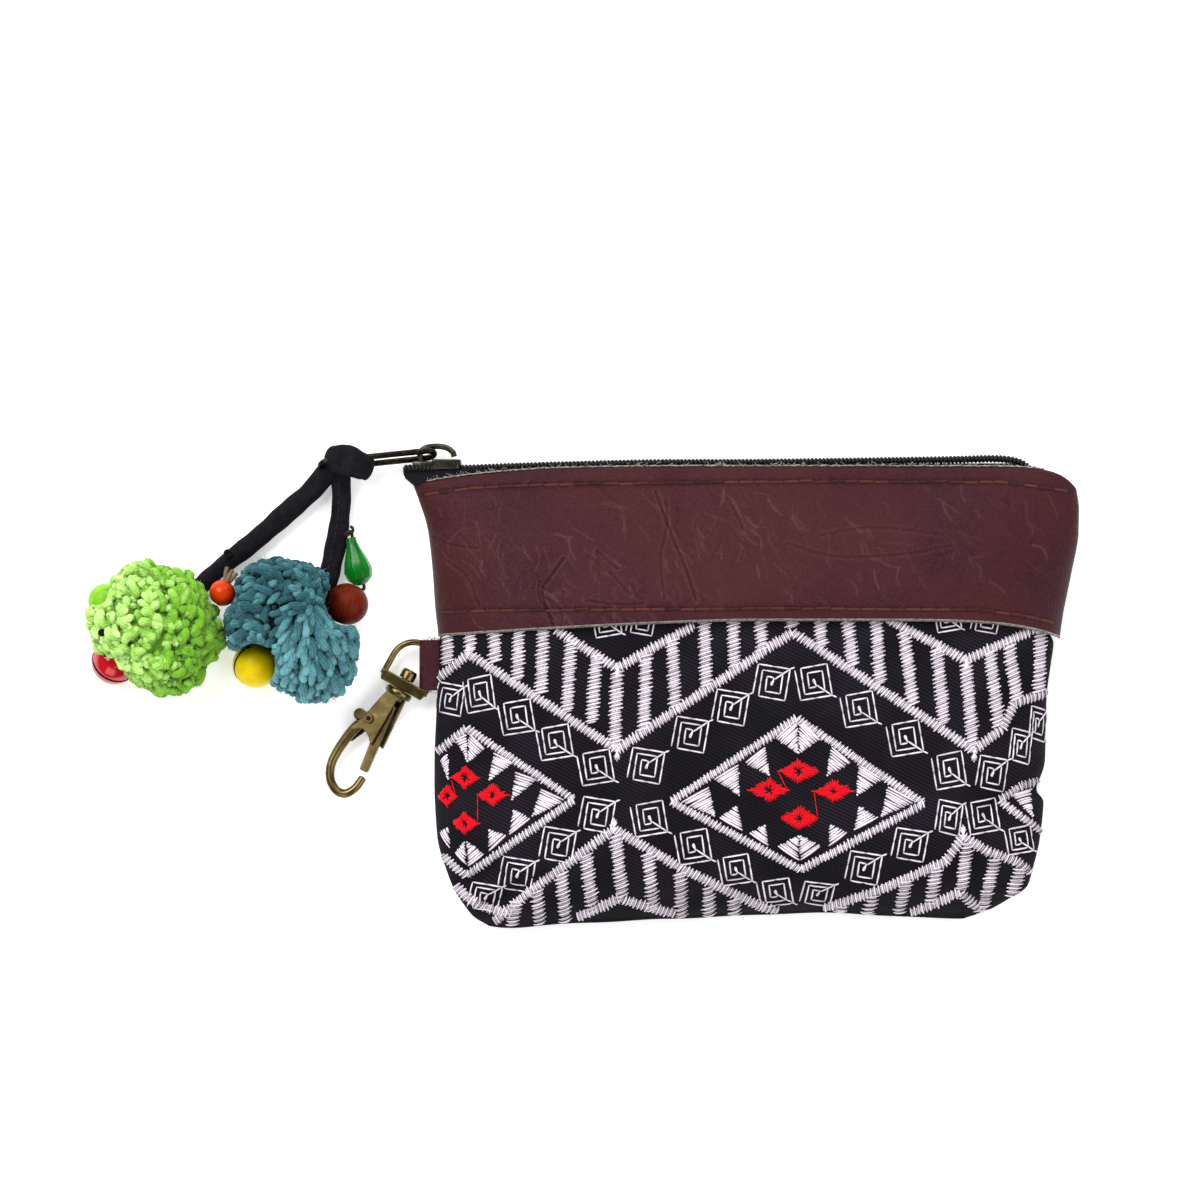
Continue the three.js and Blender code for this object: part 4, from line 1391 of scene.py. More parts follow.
                # The thread going into each needle hole is toned dark: painted shade in the hole.
                hole = Tube([point[-1] - normal[-1] * 0.34, point[-1] - normal[-1] * 0.8])
                heap.sweep(hole, self.hole, self.hole, 6, 0.1)
        item = heap.build("leather_stitches", [self.finishes.brown_thread])
        Dresser.done(item, Slot.LEATHER)

    def fringe(self) -> None:
        """Fray the raw edge that shows between the leather and the coil."""
        chance = np.random.default_rng(5)
        across = np.linspace(-0.985, 0.9, 300)
        edge = self.form.leather_front(np.zeros(across.shape), across)
        fade = np.sqrt(1 - np.abs(across) ** 6)
        edge[:, 1] += self.turned * fade + 0.1 + chance.normal(0, 0.05, len(across))
        edge[:, 2] -= self.thick * 0.75 * fade
        heap = Heap()
        heap.sweep(Tube(edge), 0.1 + 0.08 * chance.random(len(edge)), 0.16, 6, 0.5)
        for index in chance.integers(4, len(edge) - 4, self.frays):
            way = np.array([chance.normal(0, 0.6), chance.uniform(0.1, 0.8), chance.uniform(0.0, 0.5)])
            heap.fibre(edge[index], way, chance.normal(0, 0.14, 3), 0.06, 0.5)
        Dresser.done(heap.build("leather_fringe", [self.finishes.raw_edge]), Slot.LEATHER)

    def build(self) -> None:
        """Make both bands, their stitches and the frayed edge."""
        for make in (self.front, self.back, self.stitches, self.fringe):
            make()


class Stitcher:
    """Lays raised stitches on the cloth and gathers them by colour."""

    samples = 5
    # Upper and lower stitches of a band: length and thickness as parts of its width and pitch, lift and tone. The lower
    # stitches' darker tone is painted shade.
    over = (1.06, 1.4, 0.44, 1.0)
    under = (0.76, 1.2, 0.3, 0.62)

    def __init__(self, form: PurseForm, seed: int) -> None:
        """Start with no stitches.

        Args:
            form: The surface that the stitches lie on.
            seed: Seed of the small differences between stitches.
        """
        self.form = form
        self.chance = np.random.default_rng(seed)
        self.starts: list[Array] = []
        self.ends: list[Array] = []
        self.widths: list[float] = []
        self.lifts: list[float] = []
        self.tones: list[float] = []

    def add(self, start: Array, end: Array, width: float, lift: float, tone: float = 1.0) -> None:
        """Add one stitch.

        Args:
            start: Its start in the view.
            end: Its end in the view.
            width: Its width.
            lift: Its height over the cloth.
            tone: Its brightness.
        """
        self.starts.append(np.asarray(start, dtype=float))
        self.ends.append(np.asarray(end, dtype=float))
        self.widths.append(width)
        self.lifts.append(lift)
        self.tones.append(tone)

    def band(self, path: Sequence[Pair], width: float, pitch: float = 0.4, slant: float = 0.0) -> None:
        """Fill a band with stitches that lie side by side across it, every second one lower and darker with painted
        shade.

        Args:
            path: Middle of the band.
            width: Width of the band.
            pitch: Distance from stitch to stitch.
            slant: How far a stitch's ends lean along the band, in half widths.
        """
        corners = np.asarray(path, dtype=float)
        for first, second in zip(corners[:-1], corners[1:]):
            run = second - first
            length = float(np.linalg.norm(run))
            ahead = run / length
            side = np.array([-ahead[1], ahead[0]])
            reach = (side + ahead * slant) * width / 2 + ahead * pitch * 0.4
            for index, place in enumerate(np.arange(pitch / 2, length, pitch)):
                middle = first + ahead * (place + self.chance.normal(0, 0.04))
                size = 1 + self.chance.normal(0, 0.09, 2)
                share, thick, lift, tone = self.under if index % 2 else self.over
                start, end = middle - reach * size[0] * share, middle + reach * size[1] * share
                self.add(start, end, pitch * thick, lift, tone)

    def fan(self, tip: Pair, way: Pair, length: float) -> None:
        """End a pointed corner with a few longer stitches.

        Args:
            tip: The corner.
            way: Direction that the stitches point in.
            length: Their length.
        """
        heading = math.atan2(way[1], way[0])
        for turn in (-0.55, -0.28, 0.0, 0.28, 0.55):
            ahead = np.array([math.cos(heading + turn), math.sin(heading + turn)])
            start = np.asarray(tip) - ahead * length * 0.45
            self.add(start, np.asarray(tip) + ahead * length * (0.75 - abs(turn) * 0.5), 0.5, 0.4)

    def wedge(self, apex: Pair, left: Pair, right: Pair, pitch: float = 0.47) -> None:
        """Fill a triangle with stitches along its base.

        Args:
            apex: The point.
            left: One end of the base.
            right: The other end of the base.
            pitch: Distance from stitch to stitch.
        """
        apex, left, right = (np.asarray(corner, dtype=float) for corner in (apex, left, right))
        tall = float(np.linalg.norm((left + right) / 2 - apex))
        for place in np.arange(pitch, tall + 0.2, pitch):
            part = place / tall
            first = apex + (left - apex) * part + self.chance.normal(0, 0.09, 2)
            second = apex + (right - apex) * part + self.chance.normal(0, 0.09, 2)
            self.add(first, second, pitch * 1.36, 0.32)

    def ring(self, middle: Pair, wide: float, tall: float, hole: float, count: int) -> None:
        """Stitch a diamond outwards from an open middle.

        Args:
            middle: The diamond's middle.
            wide: Half width.
            tall: Half height.
            hole: Size of the open middle as a part of the diamond.
            count: Number of stitches.
        """
        corners = np.array([(wide, 0.0), (0.0, tall), (-wide, 0.0), (0.0, -tall)])
        for index in range(count):
            quarter, part = divmod(index / count * 4, 1.0)
            first, second = corners[int(quarter)], corners[(int(quarter) + 1) % 4]
            rim = (first + (second - first) * part) * (1 + self.chance.normal(0, 0.08))
            turn = index / count * math.tau
            inner = np.array([math.cos(turn), math.sin(turn)]) * hole * tall * self.chance.uniform(0.35, 1.15)
            self.add(np.asarray(middle) + inner, np.asarray(middle) + rim, 0.5, 0.46)

    def line(self, path: Sequence[Pair], width: float = 0.46) -> None:
        """Sew a thin line, one stitch from corner to corner.

        Args:
            path: Corners of the line.
            width: Width of the thread.
        """
        for first, second in zip(path[:-1], path[1:]):
            first, second = np.asarray(first, dtype=float), np.asarray(second, dtype=float)
            count = max(1, round(float(np.linalg.norm(second - first)) / 3.4))
            for step in range(count):
                low = first + (second - first) * step / count
                high = first + (second - first) * (step + 1) / count
                self.add(low, high, width, 0.26)

    def build(self, name: str, material: Material) -> None:
        """Raise all stitches as one mesh.

        Args:
            name: Name of the object.
            material: Its thread.
        """
        starts, ends = np.array(self.starts), np.array(self.ends)
        part = np.linspace(0, 1, self.samples)
        plan = starts[:, None] + (ends - starts)[:, None] * part[None, :, None]
        point, normal = self.form.on_cloth(plan[..., 0], plan[..., 1])
        kept = np.abs(point[..., :2] - plan).max(axis=(1, 2)) < 0.7
        point, normal = point[kept], normal[kept]
        widths = np.array(self.widths)[kept][:, None]
        lifts = np.array(self.lifts)[kept][:, None]
        swell = np.sqrt(np.sin(part * math.pi).clip(0, 1))[None, :]
        ahead = point[:, -1:] - point[:, :1]
        side = np.cross(normal, ahead)
        side = side / np.linalg.norm(side, axis=-1, keepdims=True)
        half = (widths / 2 * (0.6 + 0.4 * swell))[..., None]
        rise = (lifts * swell + 0.05)[..., None]
        left = point - side * half + normal * rise * 0.3
        right = point + side * half + normal * rise * 0.3
        top = point + normal * rise
        count = len(point)
        points = np.stack([left, top, right], axis=2).reshape(-1, 3)
        size = self.samples * 3
        single = Mesher.grid_faces(self.samples, 3, closed=True)
        caps = np.array([[0, 1, 2, 2], [size - 1, size - 2, size - 3, size - 3]])
        single = np.vstack([single, caps])
        faces = (np.arange(count)[:, None, None] * size + single[None]).reshape(-1, 4)
        heap = Heap()
        shade = self.chance.uniform(0.6, 1.0, count) * np.array(self.tones)[kept]
        # Each stitch's sides get a tenth of its tone: painted shade on the sides, against a lit top.
        tone = shade[:, None] * np.tile([0.1, 1.0, 0.1], self.samples)[None]
        heap.add(points, faces, tone.reshape(-1))
        item = heap.build(name, [material])
        Dresser.done(Mesher.outward(item), Slot.CLOTH)


@dataclass
class Embroidery:
    """White and red geometric needlework, charted in small steps to the right and downwards."""

    form: PurseForm
    finishes: Finishes
    step: float = 0.2
    origin: Pair = (698.5, 686.5)
    zigzag_width: float = 2.0
    bar_width: float = 2.6
    border_width: float = 1.7
    bar_pitch: float = 0.4
    bar_slant: float = -0.42
    point_length: float = 2.4
    square_turn: float = 0.17
    ring_hole: float = 0.36
    ring_stitches: int = 30
    link_width: float = 0.26
    zigzags: tuple[Pairs, ...] = (
        ((438, 678), (469, 654), (617, 749), (792, 632), (973, 750), (1002, 728), (1014, 703), (1049, 692)),
        ((556, 630), (617, 668), (694, 625)),
        ((887, 619), (965, 660), (1037, 628)),
        ((455, 886), (470, 900), (490, 909), (512, 914)),
        ((494, 922), (529, 892), (614, 828), (682, 868), (760, 906), (786, 915)),
        ((786, 917), (817, 911), (878, 890), (945, 861), (962, 836), (987, 851), (1016, 861), (1034, 874)),
        ((577, 918), (619, 898), (674, 914)),
        ((911, 914), (960, 892), (984, 914)),
    )
    # Pointed corners give their place, and one for upwards or minus one for downwards.
    points: Points = (
        (617, 752, -1), (973, 753, -1), (617, 670, -1), (965, 662, -1), (614, 826, 1), (962, 833, 1), (469, 651, 1)
    )
    # Each bar gives its top and its bottom.
    bars: tuple[tuple[float, float, float, float], ...] = (
        (448, 612, 447, 664), (470, 612, 470, 652), (494, 612, 495, 662), (519, 612, 518, 679), (544, 612, 541, 694),
        (571, 640, 567, 711), (596, 655, 592, 722), (617, 672, 615, 745), (646, 655, 644, 728), (672, 640, 675, 706),
        (704, 612, 706, 686), (733, 612, 734, 668), (760, 612, 762, 650), (792, 612, 792, 628), (819, 612, 821, 648),
        (846, 612, 852, 666), (875, 612, 879, 684), (903, 631, 912, 704), (936, 648, 943, 724), (965, 663, 972, 746),
        (989, 652, 998, 726), (1008, 642, 1017, 702), (1041, 618, 1039, 692),
        (517, 900, 512, 925), (537, 890, 540, 926), (561, 872, 566, 926), (586, 854, 593, 914), (616, 834, 622, 896),
        (648, 852, 653, 910), (680, 871, 682, 922), (708, 886, 710, 922), (734, 898, 735, 922),
        (843, 905, 838, 918), (873, 895, 868, 916), (906, 880, 899, 914), (936, 866, 930, 906), (967, 842, 961, 890),
        (995, 858, 983, 910), (1021, 868, 1012, 896),
    )
    diamonds: tuple[Pairs, ...] = (
        ((671, 801), (796, 718), (923, 803), (800, 869), (671, 801)),
        ((437, 752), (467, 728), (574, 799), (466, 876), (440, 854)),
        ((1046, 779), (1021, 786), (999, 800), (1022, 817), (1046, 834)),
    )
    # Wedges are an apex and two ends of a base, for the right half of a diamond about its middle line.
    middle_line: float = 797.5
    diamond_top: float = 718
    wedges: tuple[tuple[float, ...], ...] = (
        (0, 36, 1, 0, 22, 20), (28, 58, 33, 28, 53, 44), (58, 78, 60, 47, 83, 61), (82, 99, 89, 68, 117, 83),
        (61, 87, 80, 99, 55, 113), (32, 105, 49, 114, 30, 128),
    )
    foot: Pairs = ((0, 116), (21, 127), (1, 141))
    # The cut diamonds at both sides have wedges of their own, placed on the chart.
    side_wedges: tuple[tuple[float, ...], ...] = (
        (468, 763, 467, 735, 456, 740), (468, 763, 469, 735, 484, 749), (488, 781, 494, 754, 513, 763),
        (511, 800, 516, 772, 538, 779), (532, 817, 541, 788, 566, 799), (513, 808, 529, 817, 510, 833),
        (489, 828, 507, 835, 489, 850), (449, 781, 440, 761, 448, 753), (449, 826, 440, 832, 450, 848),
        (467, 840, 483, 853, 468, 865), (465, 840, 455, 853, 466, 865), (1033, 818, 1011, 795, 1031, 789),
    )
    # Each ring has its middle, half width and half height. Links run from ring to ring.
    rings: tuple[tuple[float, ...], ...] = (
        (798, 770.5, 20.5, 12.8), (768.5, 789.5, 20.5, 13), (832.7, 790.5, 20.5, 12.2), (799, 817.5, 20.2, 12.8),
        (465.5, 777.5, 14.2, 12.2), (447.5, 796, 9.8, 12), (493, 794.5, 17, 11.8), (465, 823, 14, 12),
    )
    links: tuple[tuple[float, ...], ...] = (
        (777, 770, 787, 790), (813, 790, 817, 817), (452, 780, 456, 795), (478, 795, 478, 821)
    )
    # Each square has its middle, half width, half height and the slope of its chain.
    squares: tuple[tuple[float, ...], ...] = (
        (450, 699, 13, 15, 1), (479.5, 694, 14, 17, -1), (517, 717, 16, 16, -1), (555, 742, 16, 16, -1),
        (596, 767, 16, 16, -1), (646, 765, 16, 16, 1), (690, 734, 16, 16, 1), (730, 707, 16, 16, 1),
        (771, 682, 16, 16, 1), (813, 682, 16, 16, -1), (858, 709, 16, 16, -1), (904, 738, 16, 16, -1),
        (948, 770, 15, 17, -1), (991, 773, 14, 16, 1), (1020, 746, 10, 16, 1), (1038, 724, 8, 16, 1),
        (485, 897, 15, 13, 1), (517, 874, 16, 16, 1), (558, 844, 16, 16, 1), (597, 814, 16, 16, 1),
        (649, 818, 16, 16, -1), (693, 846, 16, 16, -1), (735, 869, 15, 14, -1), (775, 892, 16, 13, -1),
        (817, 893, 15, 11, 1), (863, 867, 16, 15, 1), (909, 844, 16, 15, 1), (948, 817, 12, 16, 1),
        (982, 816, 15, 16, -1), (1019, 840, 13, 13, -1), (607, 622, 13, 14, -1), (641, 622, 13, 12, 1),
        (947, 618, 12, 13, -1), (985, 620, 13, 12, 1),
    )
    spiral: Pairs = (
        (-1.04, 0.92), (-1.0, -0.98), (1.0, -1.0), (1.0, 1.0), (-0.66, 0.98), (-0.68, -0.66), (0.6, -0.68),
        (0.64, 0.62), (-0.3, 0.62), (-0.34, -0.32), (0.1, -0.3), (0.06, 0.2), (-0.05, 0.1), (0.1, -0.16),
        (1.0, -1.0), (1.26, -1.16)
    )

    def at(self, right: float, down: float) -> Array:
        """Turn a place on the chart into a place in the view."""
        return np.array([(right - self.origin[0]) * self.step, (self.origin[1] - down) * self.step])

    def mirrored(self, corners: Sequence[Pair], middle: float, side: int) -> list[Array]:
        """Place corners to the right or the left of the large diamond's middle line."""
        return [self.at(middle + side * across, self.diamond_top + along) for across, along in corners]

    def square(self, white: Stitcher, spec: tuple[float, ...]) -> None:
        """Sew one spiral square.

        Args:
            white: Takes the stitches.
            spec: Middle, half width, half height and slope of the chain.
        """
        right, down, wide, tall, slope = spec
        turn = self.square_turn * -slope
        path = []
        for across, along in self.spiral:
            along = along if slope < 0 else -along
            x = across * math.cos(turn) - along * math.sin(turn)
            y = across * math.sin(turn) + along * math.cos(turn)
            path.append(self.at(right + x * wide, down - y * tall))
        white.line(path)

    def build(self) -> None:
        """Stitch the pattern in white and red."""
        white, red = Stitcher(self.form, 11), Stitcher(self.form, 12)
        for path in self.zigzags:
            white.band([self.at(*corner) for corner in path], self.zigzag_width)
        for right, down, way in self.points:
            white.fan(tuple(self.at(right, down)), (0.0, float(way)), self.point_length)
        for top_x, top_y, low_x, low_y in self.bars:
            ends = [self.at(top_x, top_y), self.at(low_x, low_y)]
            white.band(ends, self.bar_width, self.bar_pitch, self.bar_slant)
        for path in self.diamonds:
            white.band([self.at(*corner) for corner in path], self.border_width)
        for spec in self.wedges:
            for side in (1, -1):
                white.wedge(*self.mirrored((spec[:2], spec[2:4], spec[4:]), self.middle_line, side))
        for side in (1, -1):
            white.wedge(*self.mirrored(self.foot, self.middle_line + 1, side))
        for spec in self.side_wedges:
            white.wedge(*[self.at(spec[index], spec[index + 1]) for index in (0, 2, 4)])
        for spec in self.squares:
            self.square(white, spec)
        for right, down, wide, tall in self.rings:
            middle = tuple(self.at(right, down))
            red.ring(middle, wide * self.step, tall * self.step, self.ring_hole, self.ring_stitches)
        for from_x, from_y, to_x, to_y in self.links:
            red.line([self.at(from_x, from_y), self.at(to_x, to_y)], self.link_width)
        white.build("white_needlework", self.finishes.white_thread)
        red.build("red_needlework", self.finishes.red_thread)


class Shaper:
    """Models hard pieces from primitives, edit-mode steps and applied modifiers."""

    @staticmethod
    def alone(item: Item) -> None:
        """Select one object and make it active.

        Args:
            item: The object.
        """
        bpy.ops.object.select_all(action="DESELECT")
        item.select_set(True)
        bpy.context.view_layer.objects.active = item

    @staticmethod
    def bevel(item: Item, width: float, segments: int = 3) -> Item:
        """Round the sharp edges of an object.

        Args:
            item: The object.
            width: Width of the rounding.
            segments: Faces across the rounding.

        Returns:
            The same object.
        """
        Shaper.alone(item)
        edge = item.modifiers.new("edge", "BEVEL")
        edge.width = width * MM
        edge.segments = segments
        edge.limit_method = "ANGLE"
        edge.angle_limit = math.radians(28)
        bpy.ops.object.modifier_apply(modifier=edge.name)
        bpy.ops.object.shade_smooth_by_angle(angle=math.radians(40))
        flat = item.modifiers.new("flat", "WEIGHTED_NORMAL")
        flat.keep_sharp = True
        bpy.ops.object.modifier_apply(modifier=flat.name)
        return item

    @staticmethod
    def plate(name: str, outline: Sequence[Pair], low: float, high: float, bevel: float) -> Item:
        """Raise a plate from an outline.

        Args:
            name: Name of the object.
            outline: Corners in order.
            low: Height of the underside.
            high: Height of the top.
            bevel: Rounding of the edges.

        Returns:
            The object.
        """
        bpy.ops.object.select_all(action="DESELECT")
        bpy.ops.mesh.primitive_circle_add(vertices=len(outline), radius=MM, fill_type="NGON")
        item = bpy.context.object
        item.name = name
        item.data.name = name
        for corner, (x, y) in zip(item.data.vertices, outline):
            corner.co = (x * MM, y * MM, low * MM)
        bpy.ops.object.mode_set(mode="EDIT")
        bpy.ops.mesh.select_all(action="SELECT")
        bpy.ops.mesh.extrude_region_move(TRANSFORM_OT_translate={"value": (0, 0, (high - low) * MM)})
        bpy.ops.mesh.select_all(action="SELECT")
        bpy.ops.mesh.normals_make_consistent(inside=False)
        bpy.ops.object.mode_set(mode="OBJECT")
        return Shaper.bevel(item, bevel)

    @staticmethod
    def lathe(name: str, profile: Sequence[Pair], steps: int = 40) -> Item:
        """Turn a profile about the X axis.

        Args:
            name: Name of the object.
            profile: Places along X and radii.
            steps: Faces round the turn.

        Returns:
            The object.
        """
        mesh = bpy.data.meshes.new(name)
        corners = [(along * MM, radius * MM, 0.0) for along, radius in profile]
        mesh.from_pydata(corners, [(index, index + 1) for index in range(len(corners) - 1)], [])
        item = bpy.data.objects.new(name, mesh)
        bpy.context.collection.objects.link(item)
        Shaper.alone(item)
        bpy.ops.object.mode_set(mode="EDIT")
        bpy.ops.mesh.select_all(action="SELECT")
        bpy.ops.mesh.spin(steps=steps, angle=math.tau, center=(0, 0, 0), axis=(1, 0, 0))
        bpy.ops.mesh.select_all(action="SELECT")
        bpy.ops.mesh.remove_doubles(threshold=0.005 * MM)
        bpy.ops.mesh.normals_make_consistent(inside=False)
        bpy.ops.object.mode_set(mode="OBJECT")
        bpy.ops.object.shade_smooth_by_angle(angle=math.radians(35))
        return item

    @staticmethod
    def rod(
        name: str, path: Sequence[Point], radius: float | Array, steps: int = 60, sides: int = 16
    ) -> Item:
        """Sweep a round bar along a path.

        Args:
            name: Name of the object.
            path: Points in millimetres.
            radius: Radius, or one for each step.
            steps: Points along the bar.
            sides: Points round it.

        Returns:
            The object.
        """
        points, faces, _ = Tube(path, steps).skin(radius, radius, sides)
        heap = Heap()
        heap.add(points, faces)
        return Mesher.outward(heap.build(name, []))

    @staticmethod
    def joined(name: str, items: Sequence[Item], material: Material) -> Item:
        """Join objects and give them one material.

        Args:
            name: Name of the joined object.
            items: The objects.
            material: The material.

        Returns:
            The joined object.
        """
        bpy.ops.object.select_all(action="DESELECT")
        for item in items:
            item.select_set(True)
        bpy.context.view_layer.objects.active = items[0]
        if len(items) > 1:
            bpy.ops.object.join()
        items[0].name = name
        items[0].data.name = name
        items[0].data.materials.clear()
        items[0].data.materials.append(material)
        return items[0]

    @staticmethod
    def moved(item: Item, matrix: Matrix) -> Item:
        """Move an object's mesh and leave the object at the origin.

        Args:
            item: The object.
            matrix: The move, with millimetres in it.

        Returns:
            The same object.
        """
        placed = matrix.copy()
        placed.translation = placed.translation * MM
        item.data.transform(placed)
        item.data.update()
        return item


@dataclass
class Zip:
    """Nylon coil zip: woven tapes, coil, slider with its bail, and a long wire pull."""

    finishes: Finishes
    height: float = 3.3
    tape_thick: float = 0.7
    tape_lows: Pair = (4.3, 1.6)
    bail_wire: float = 0.6
    coil_radius: float = 0.5
    coil_wire: float = 0.34
    coil_pitch: float = 0.77
    pull_right: Point = (-52.3, 46.7, 3.3)
    pull_left: Point = (-76.3, 44.2, 4.5)
    pull_width: float = 3.3
    pull_wire: float = 0.62
    pull_tilt: float = math.radians(65)
    pull_sides: int = 12
    # The slider's nose and box are outlines along the zip and through its height.
    nose: Pairs = ((-57.3, -1.5), (-55.6, -2.1), (-52.8, -2.1), (-52.8, 2.1), (-55.6, 2.1), (-57.3, 1.5))
    box: Pairs = (
        (-53.4, -2.2), (-53.0, -2.4), (-48.2, -2.4), (-47.5, -1.7), (-47.5, 1.7), (-48.2, 2.4), (-53.0, 2.4),
        (-53.4, 2.2),
    )
    outline: Pairs = (
        (-59.2, 43.9), (-59.1, 42.6), (-58.7, 41.6), (-57.0, 40.2), (-52.6, 41.4), (-36.5, 42.1), (-36.0, 39.6),
        (60.0, 39.6), (64.5, 42.0), (63.5, 44.7), (20.0, 44.6), (-20.0, 43.9), (-47.0, 43.5), (-57.0, 44.2)
    )
    coil_path: Points = (
        (-47.6, 43.6, 3.6), (-35.7, 44.1, 3.6), (-20.0, 44.55, 3.5), (-7.7, 44.8, 3.4), (10.3, 44.85, 3.4),
        (31.3, 45.1, 3.4), (50.3, 45.4, 3.4), (57.3, 45.6, 3.4), (61.5, 45.5, 3.4),
        (64.6, 44.8, 3.3), (66.9, 43.1, 3.1),
    )
    coil_end: Points = ((-58.9, 43.6, 4.9), (-56.0, 43.75, 5.0), (-53.0, 43.7, 5.0))
    bail: Points = (
        (-55.7, 44.9, 3.3), (-55.7, 46.8, 3.3), (-54.6, 47.8, 3.3), (-52.4, 48.1, 3.3),
        (-50.4, 47.8, 3.3), (-49.2, 46.9, 3.3), (-48.9, 46.0, 3.3)
    )

    def tapes(self) -> None:
        """Make the front and back tapes."""
        for name, low in zip(("zip_tape_front", "zip_tape_back"), self.tape_lows):
            plate = Shaper.plate(name + "_woven", self.outline, low, low + self.tape_thick, 0.15)
            item = Shaper.joined(name + "_woven", [plate], self.finishes.tape)
            Dresser.done(item, Slot.TAPE, name)

    def wind(self, heap: Heap, path: Sequence[Point], steps: int) -> None:
        """Wind a length of coil round its core.

        Args:
            heap: Takes the mesh.
            path: The coil's middle.
            steps: Points along the middle.
        """
        middle = Tube(path, steps)
        run = middle.lengths()
        heap.sweep(middle, self.coil_radius, self.coil_radius, 10, 0.2)
        place = np.linspace(0, run[-1], int(run[-1] / self.coil_pitch * 12))
        angle = place / self.coil_pitch * math.tau
        spine, side, up = (
            np.stack([np.interp(place, run, rows[:, axis]) for axis in range(3)], axis=1)
            for rows in (middle.points, middle.side, middle.up)
        )
        wound = spine - side * (np.cos(angle) * self.coil_radius)[:, None]
        wound = wound + up * (np.sin(angle) * self.coil_radius)[:, None]
        heap.sweep(Tube(wound), self.coil_wire, self.coil_wire, 6, 0.6)

    def coil(self) -> None:
        """Wind the closed coil and the piece that shows beyond the slider."""
        heap = Heap()
        self.wind(heap, self.coil_path, 240)
        self.wind(heap, self.coil_end, 30)
        Dresser.done(heap.build("zip_coil", [self.finishes.coil]), Slot.COIL, "zip_chain")

    def slider(self) -> None:
        """Make the slider and its bail."""
        nose = Shaper.plate("nose", self.nose, -45.1, -43.7, 0.3)
        box = Shaper.plate("box", self.box, -45.5, -43.5, 0.32)
        for plate in (nose, box):
            Shaper.moved(plate, Matrix.Translation((0, 0, self.height)) @ Matrix.Rotation(math.pi / 2, 4, "X"))
        bail = Shaper.rod("bail", self.bail, self.bail_wire, 50, 14)
        item = Shaper.joined("zip_slider_cast", [box, nose, bail], self.finishes.gunmetal)
        Dresser.done(item, Slot.GUNMETAL, "zip_slider")

    def pull_axes(self) -> tuple[Array, Array, Array]:
        """Give the pull's axes.

        Returns:
            Directions along the pull, across its loop and square to the loop.
        """
        along = np.subtract(self.pull_left, self.pull_right)
        along = along / np.linalg.norm(along)
        level = -np.cross([0.0, 0.0, 1.0], along)
        level = level / np.linalg.norm(level)
        up = -np.cross(along, level)
        across = level * math.cos(self.pull_tilt) + up * math.sin(self.pull_tilt)
        return along, across, np.cross(along, across)

    def pull(self) -> None:
        """Bend the pull from wire."""
        along, across, normal = self.pull_axes()
        radius = self.pull_width / 2
        whole = np.linalg.norm(np.subtract(self.pull_left, self.pull_right))
        straight = whole - self.pull_width - 2 * self.pull_wire
        first = np.asarray(self.pull_right) + along * (radius + self.pull_wire)
        path = []
        for end in range(2):
            for turn in np.linspace(-0.5, 0.5, 15):
                angle = math.pi * (end + turn)
                reach = (straight if end == 0 else 0.0) + radius * math.cos(angle)
                path.append(first + along * reach + across * radius * math.sin(angle))
        path = np.array(path)
        path = np.vstack([path, path[:1]])
        ahead = np.roll(path[:-1], -1, axis=0) - np.roll(path[:-1], 1, axis=0)
        ahead = ahead / np.linalg.norm(ahead, axis=1, keepdims=True)
        side = np.cross(ahead, normal)
        turn = np.linspace(0, math.tau, self.pull_sides, endpoint=False)
        ring = side[:, None] * np.cos(turn)[None, :, None] + normal[None, None] * np.sin(turn)[None, :, None]
        points = (path[:-1][:, None] + ring * self.pull_wire).reshape(-1, 3)
        closed = Mesher.grid_faces(len(path) - 1, self.pull_sides, closed=True)
        last = (len(path) - 2) * self.pull_sides
        index = np.arange(self.pull_sides)
        following = (index + 1) % self.pull_sides
        seam = np.stack([last + index, last + following, following, index], axis=1)
        item = Mesher.make("zip_pull_wire", points, [*closed, *seam], [self.finishes.shaded_gunmetal])
        Dresser.done(Mesher.outward(item), Slot.GUNMETAL, "zip_pull")

    def build(self) -> None:
        """Make the tapes, the coil, the slider and the pull."""
        for make in (self.tapes, self.coil, self.slider, self.pull):
            make()


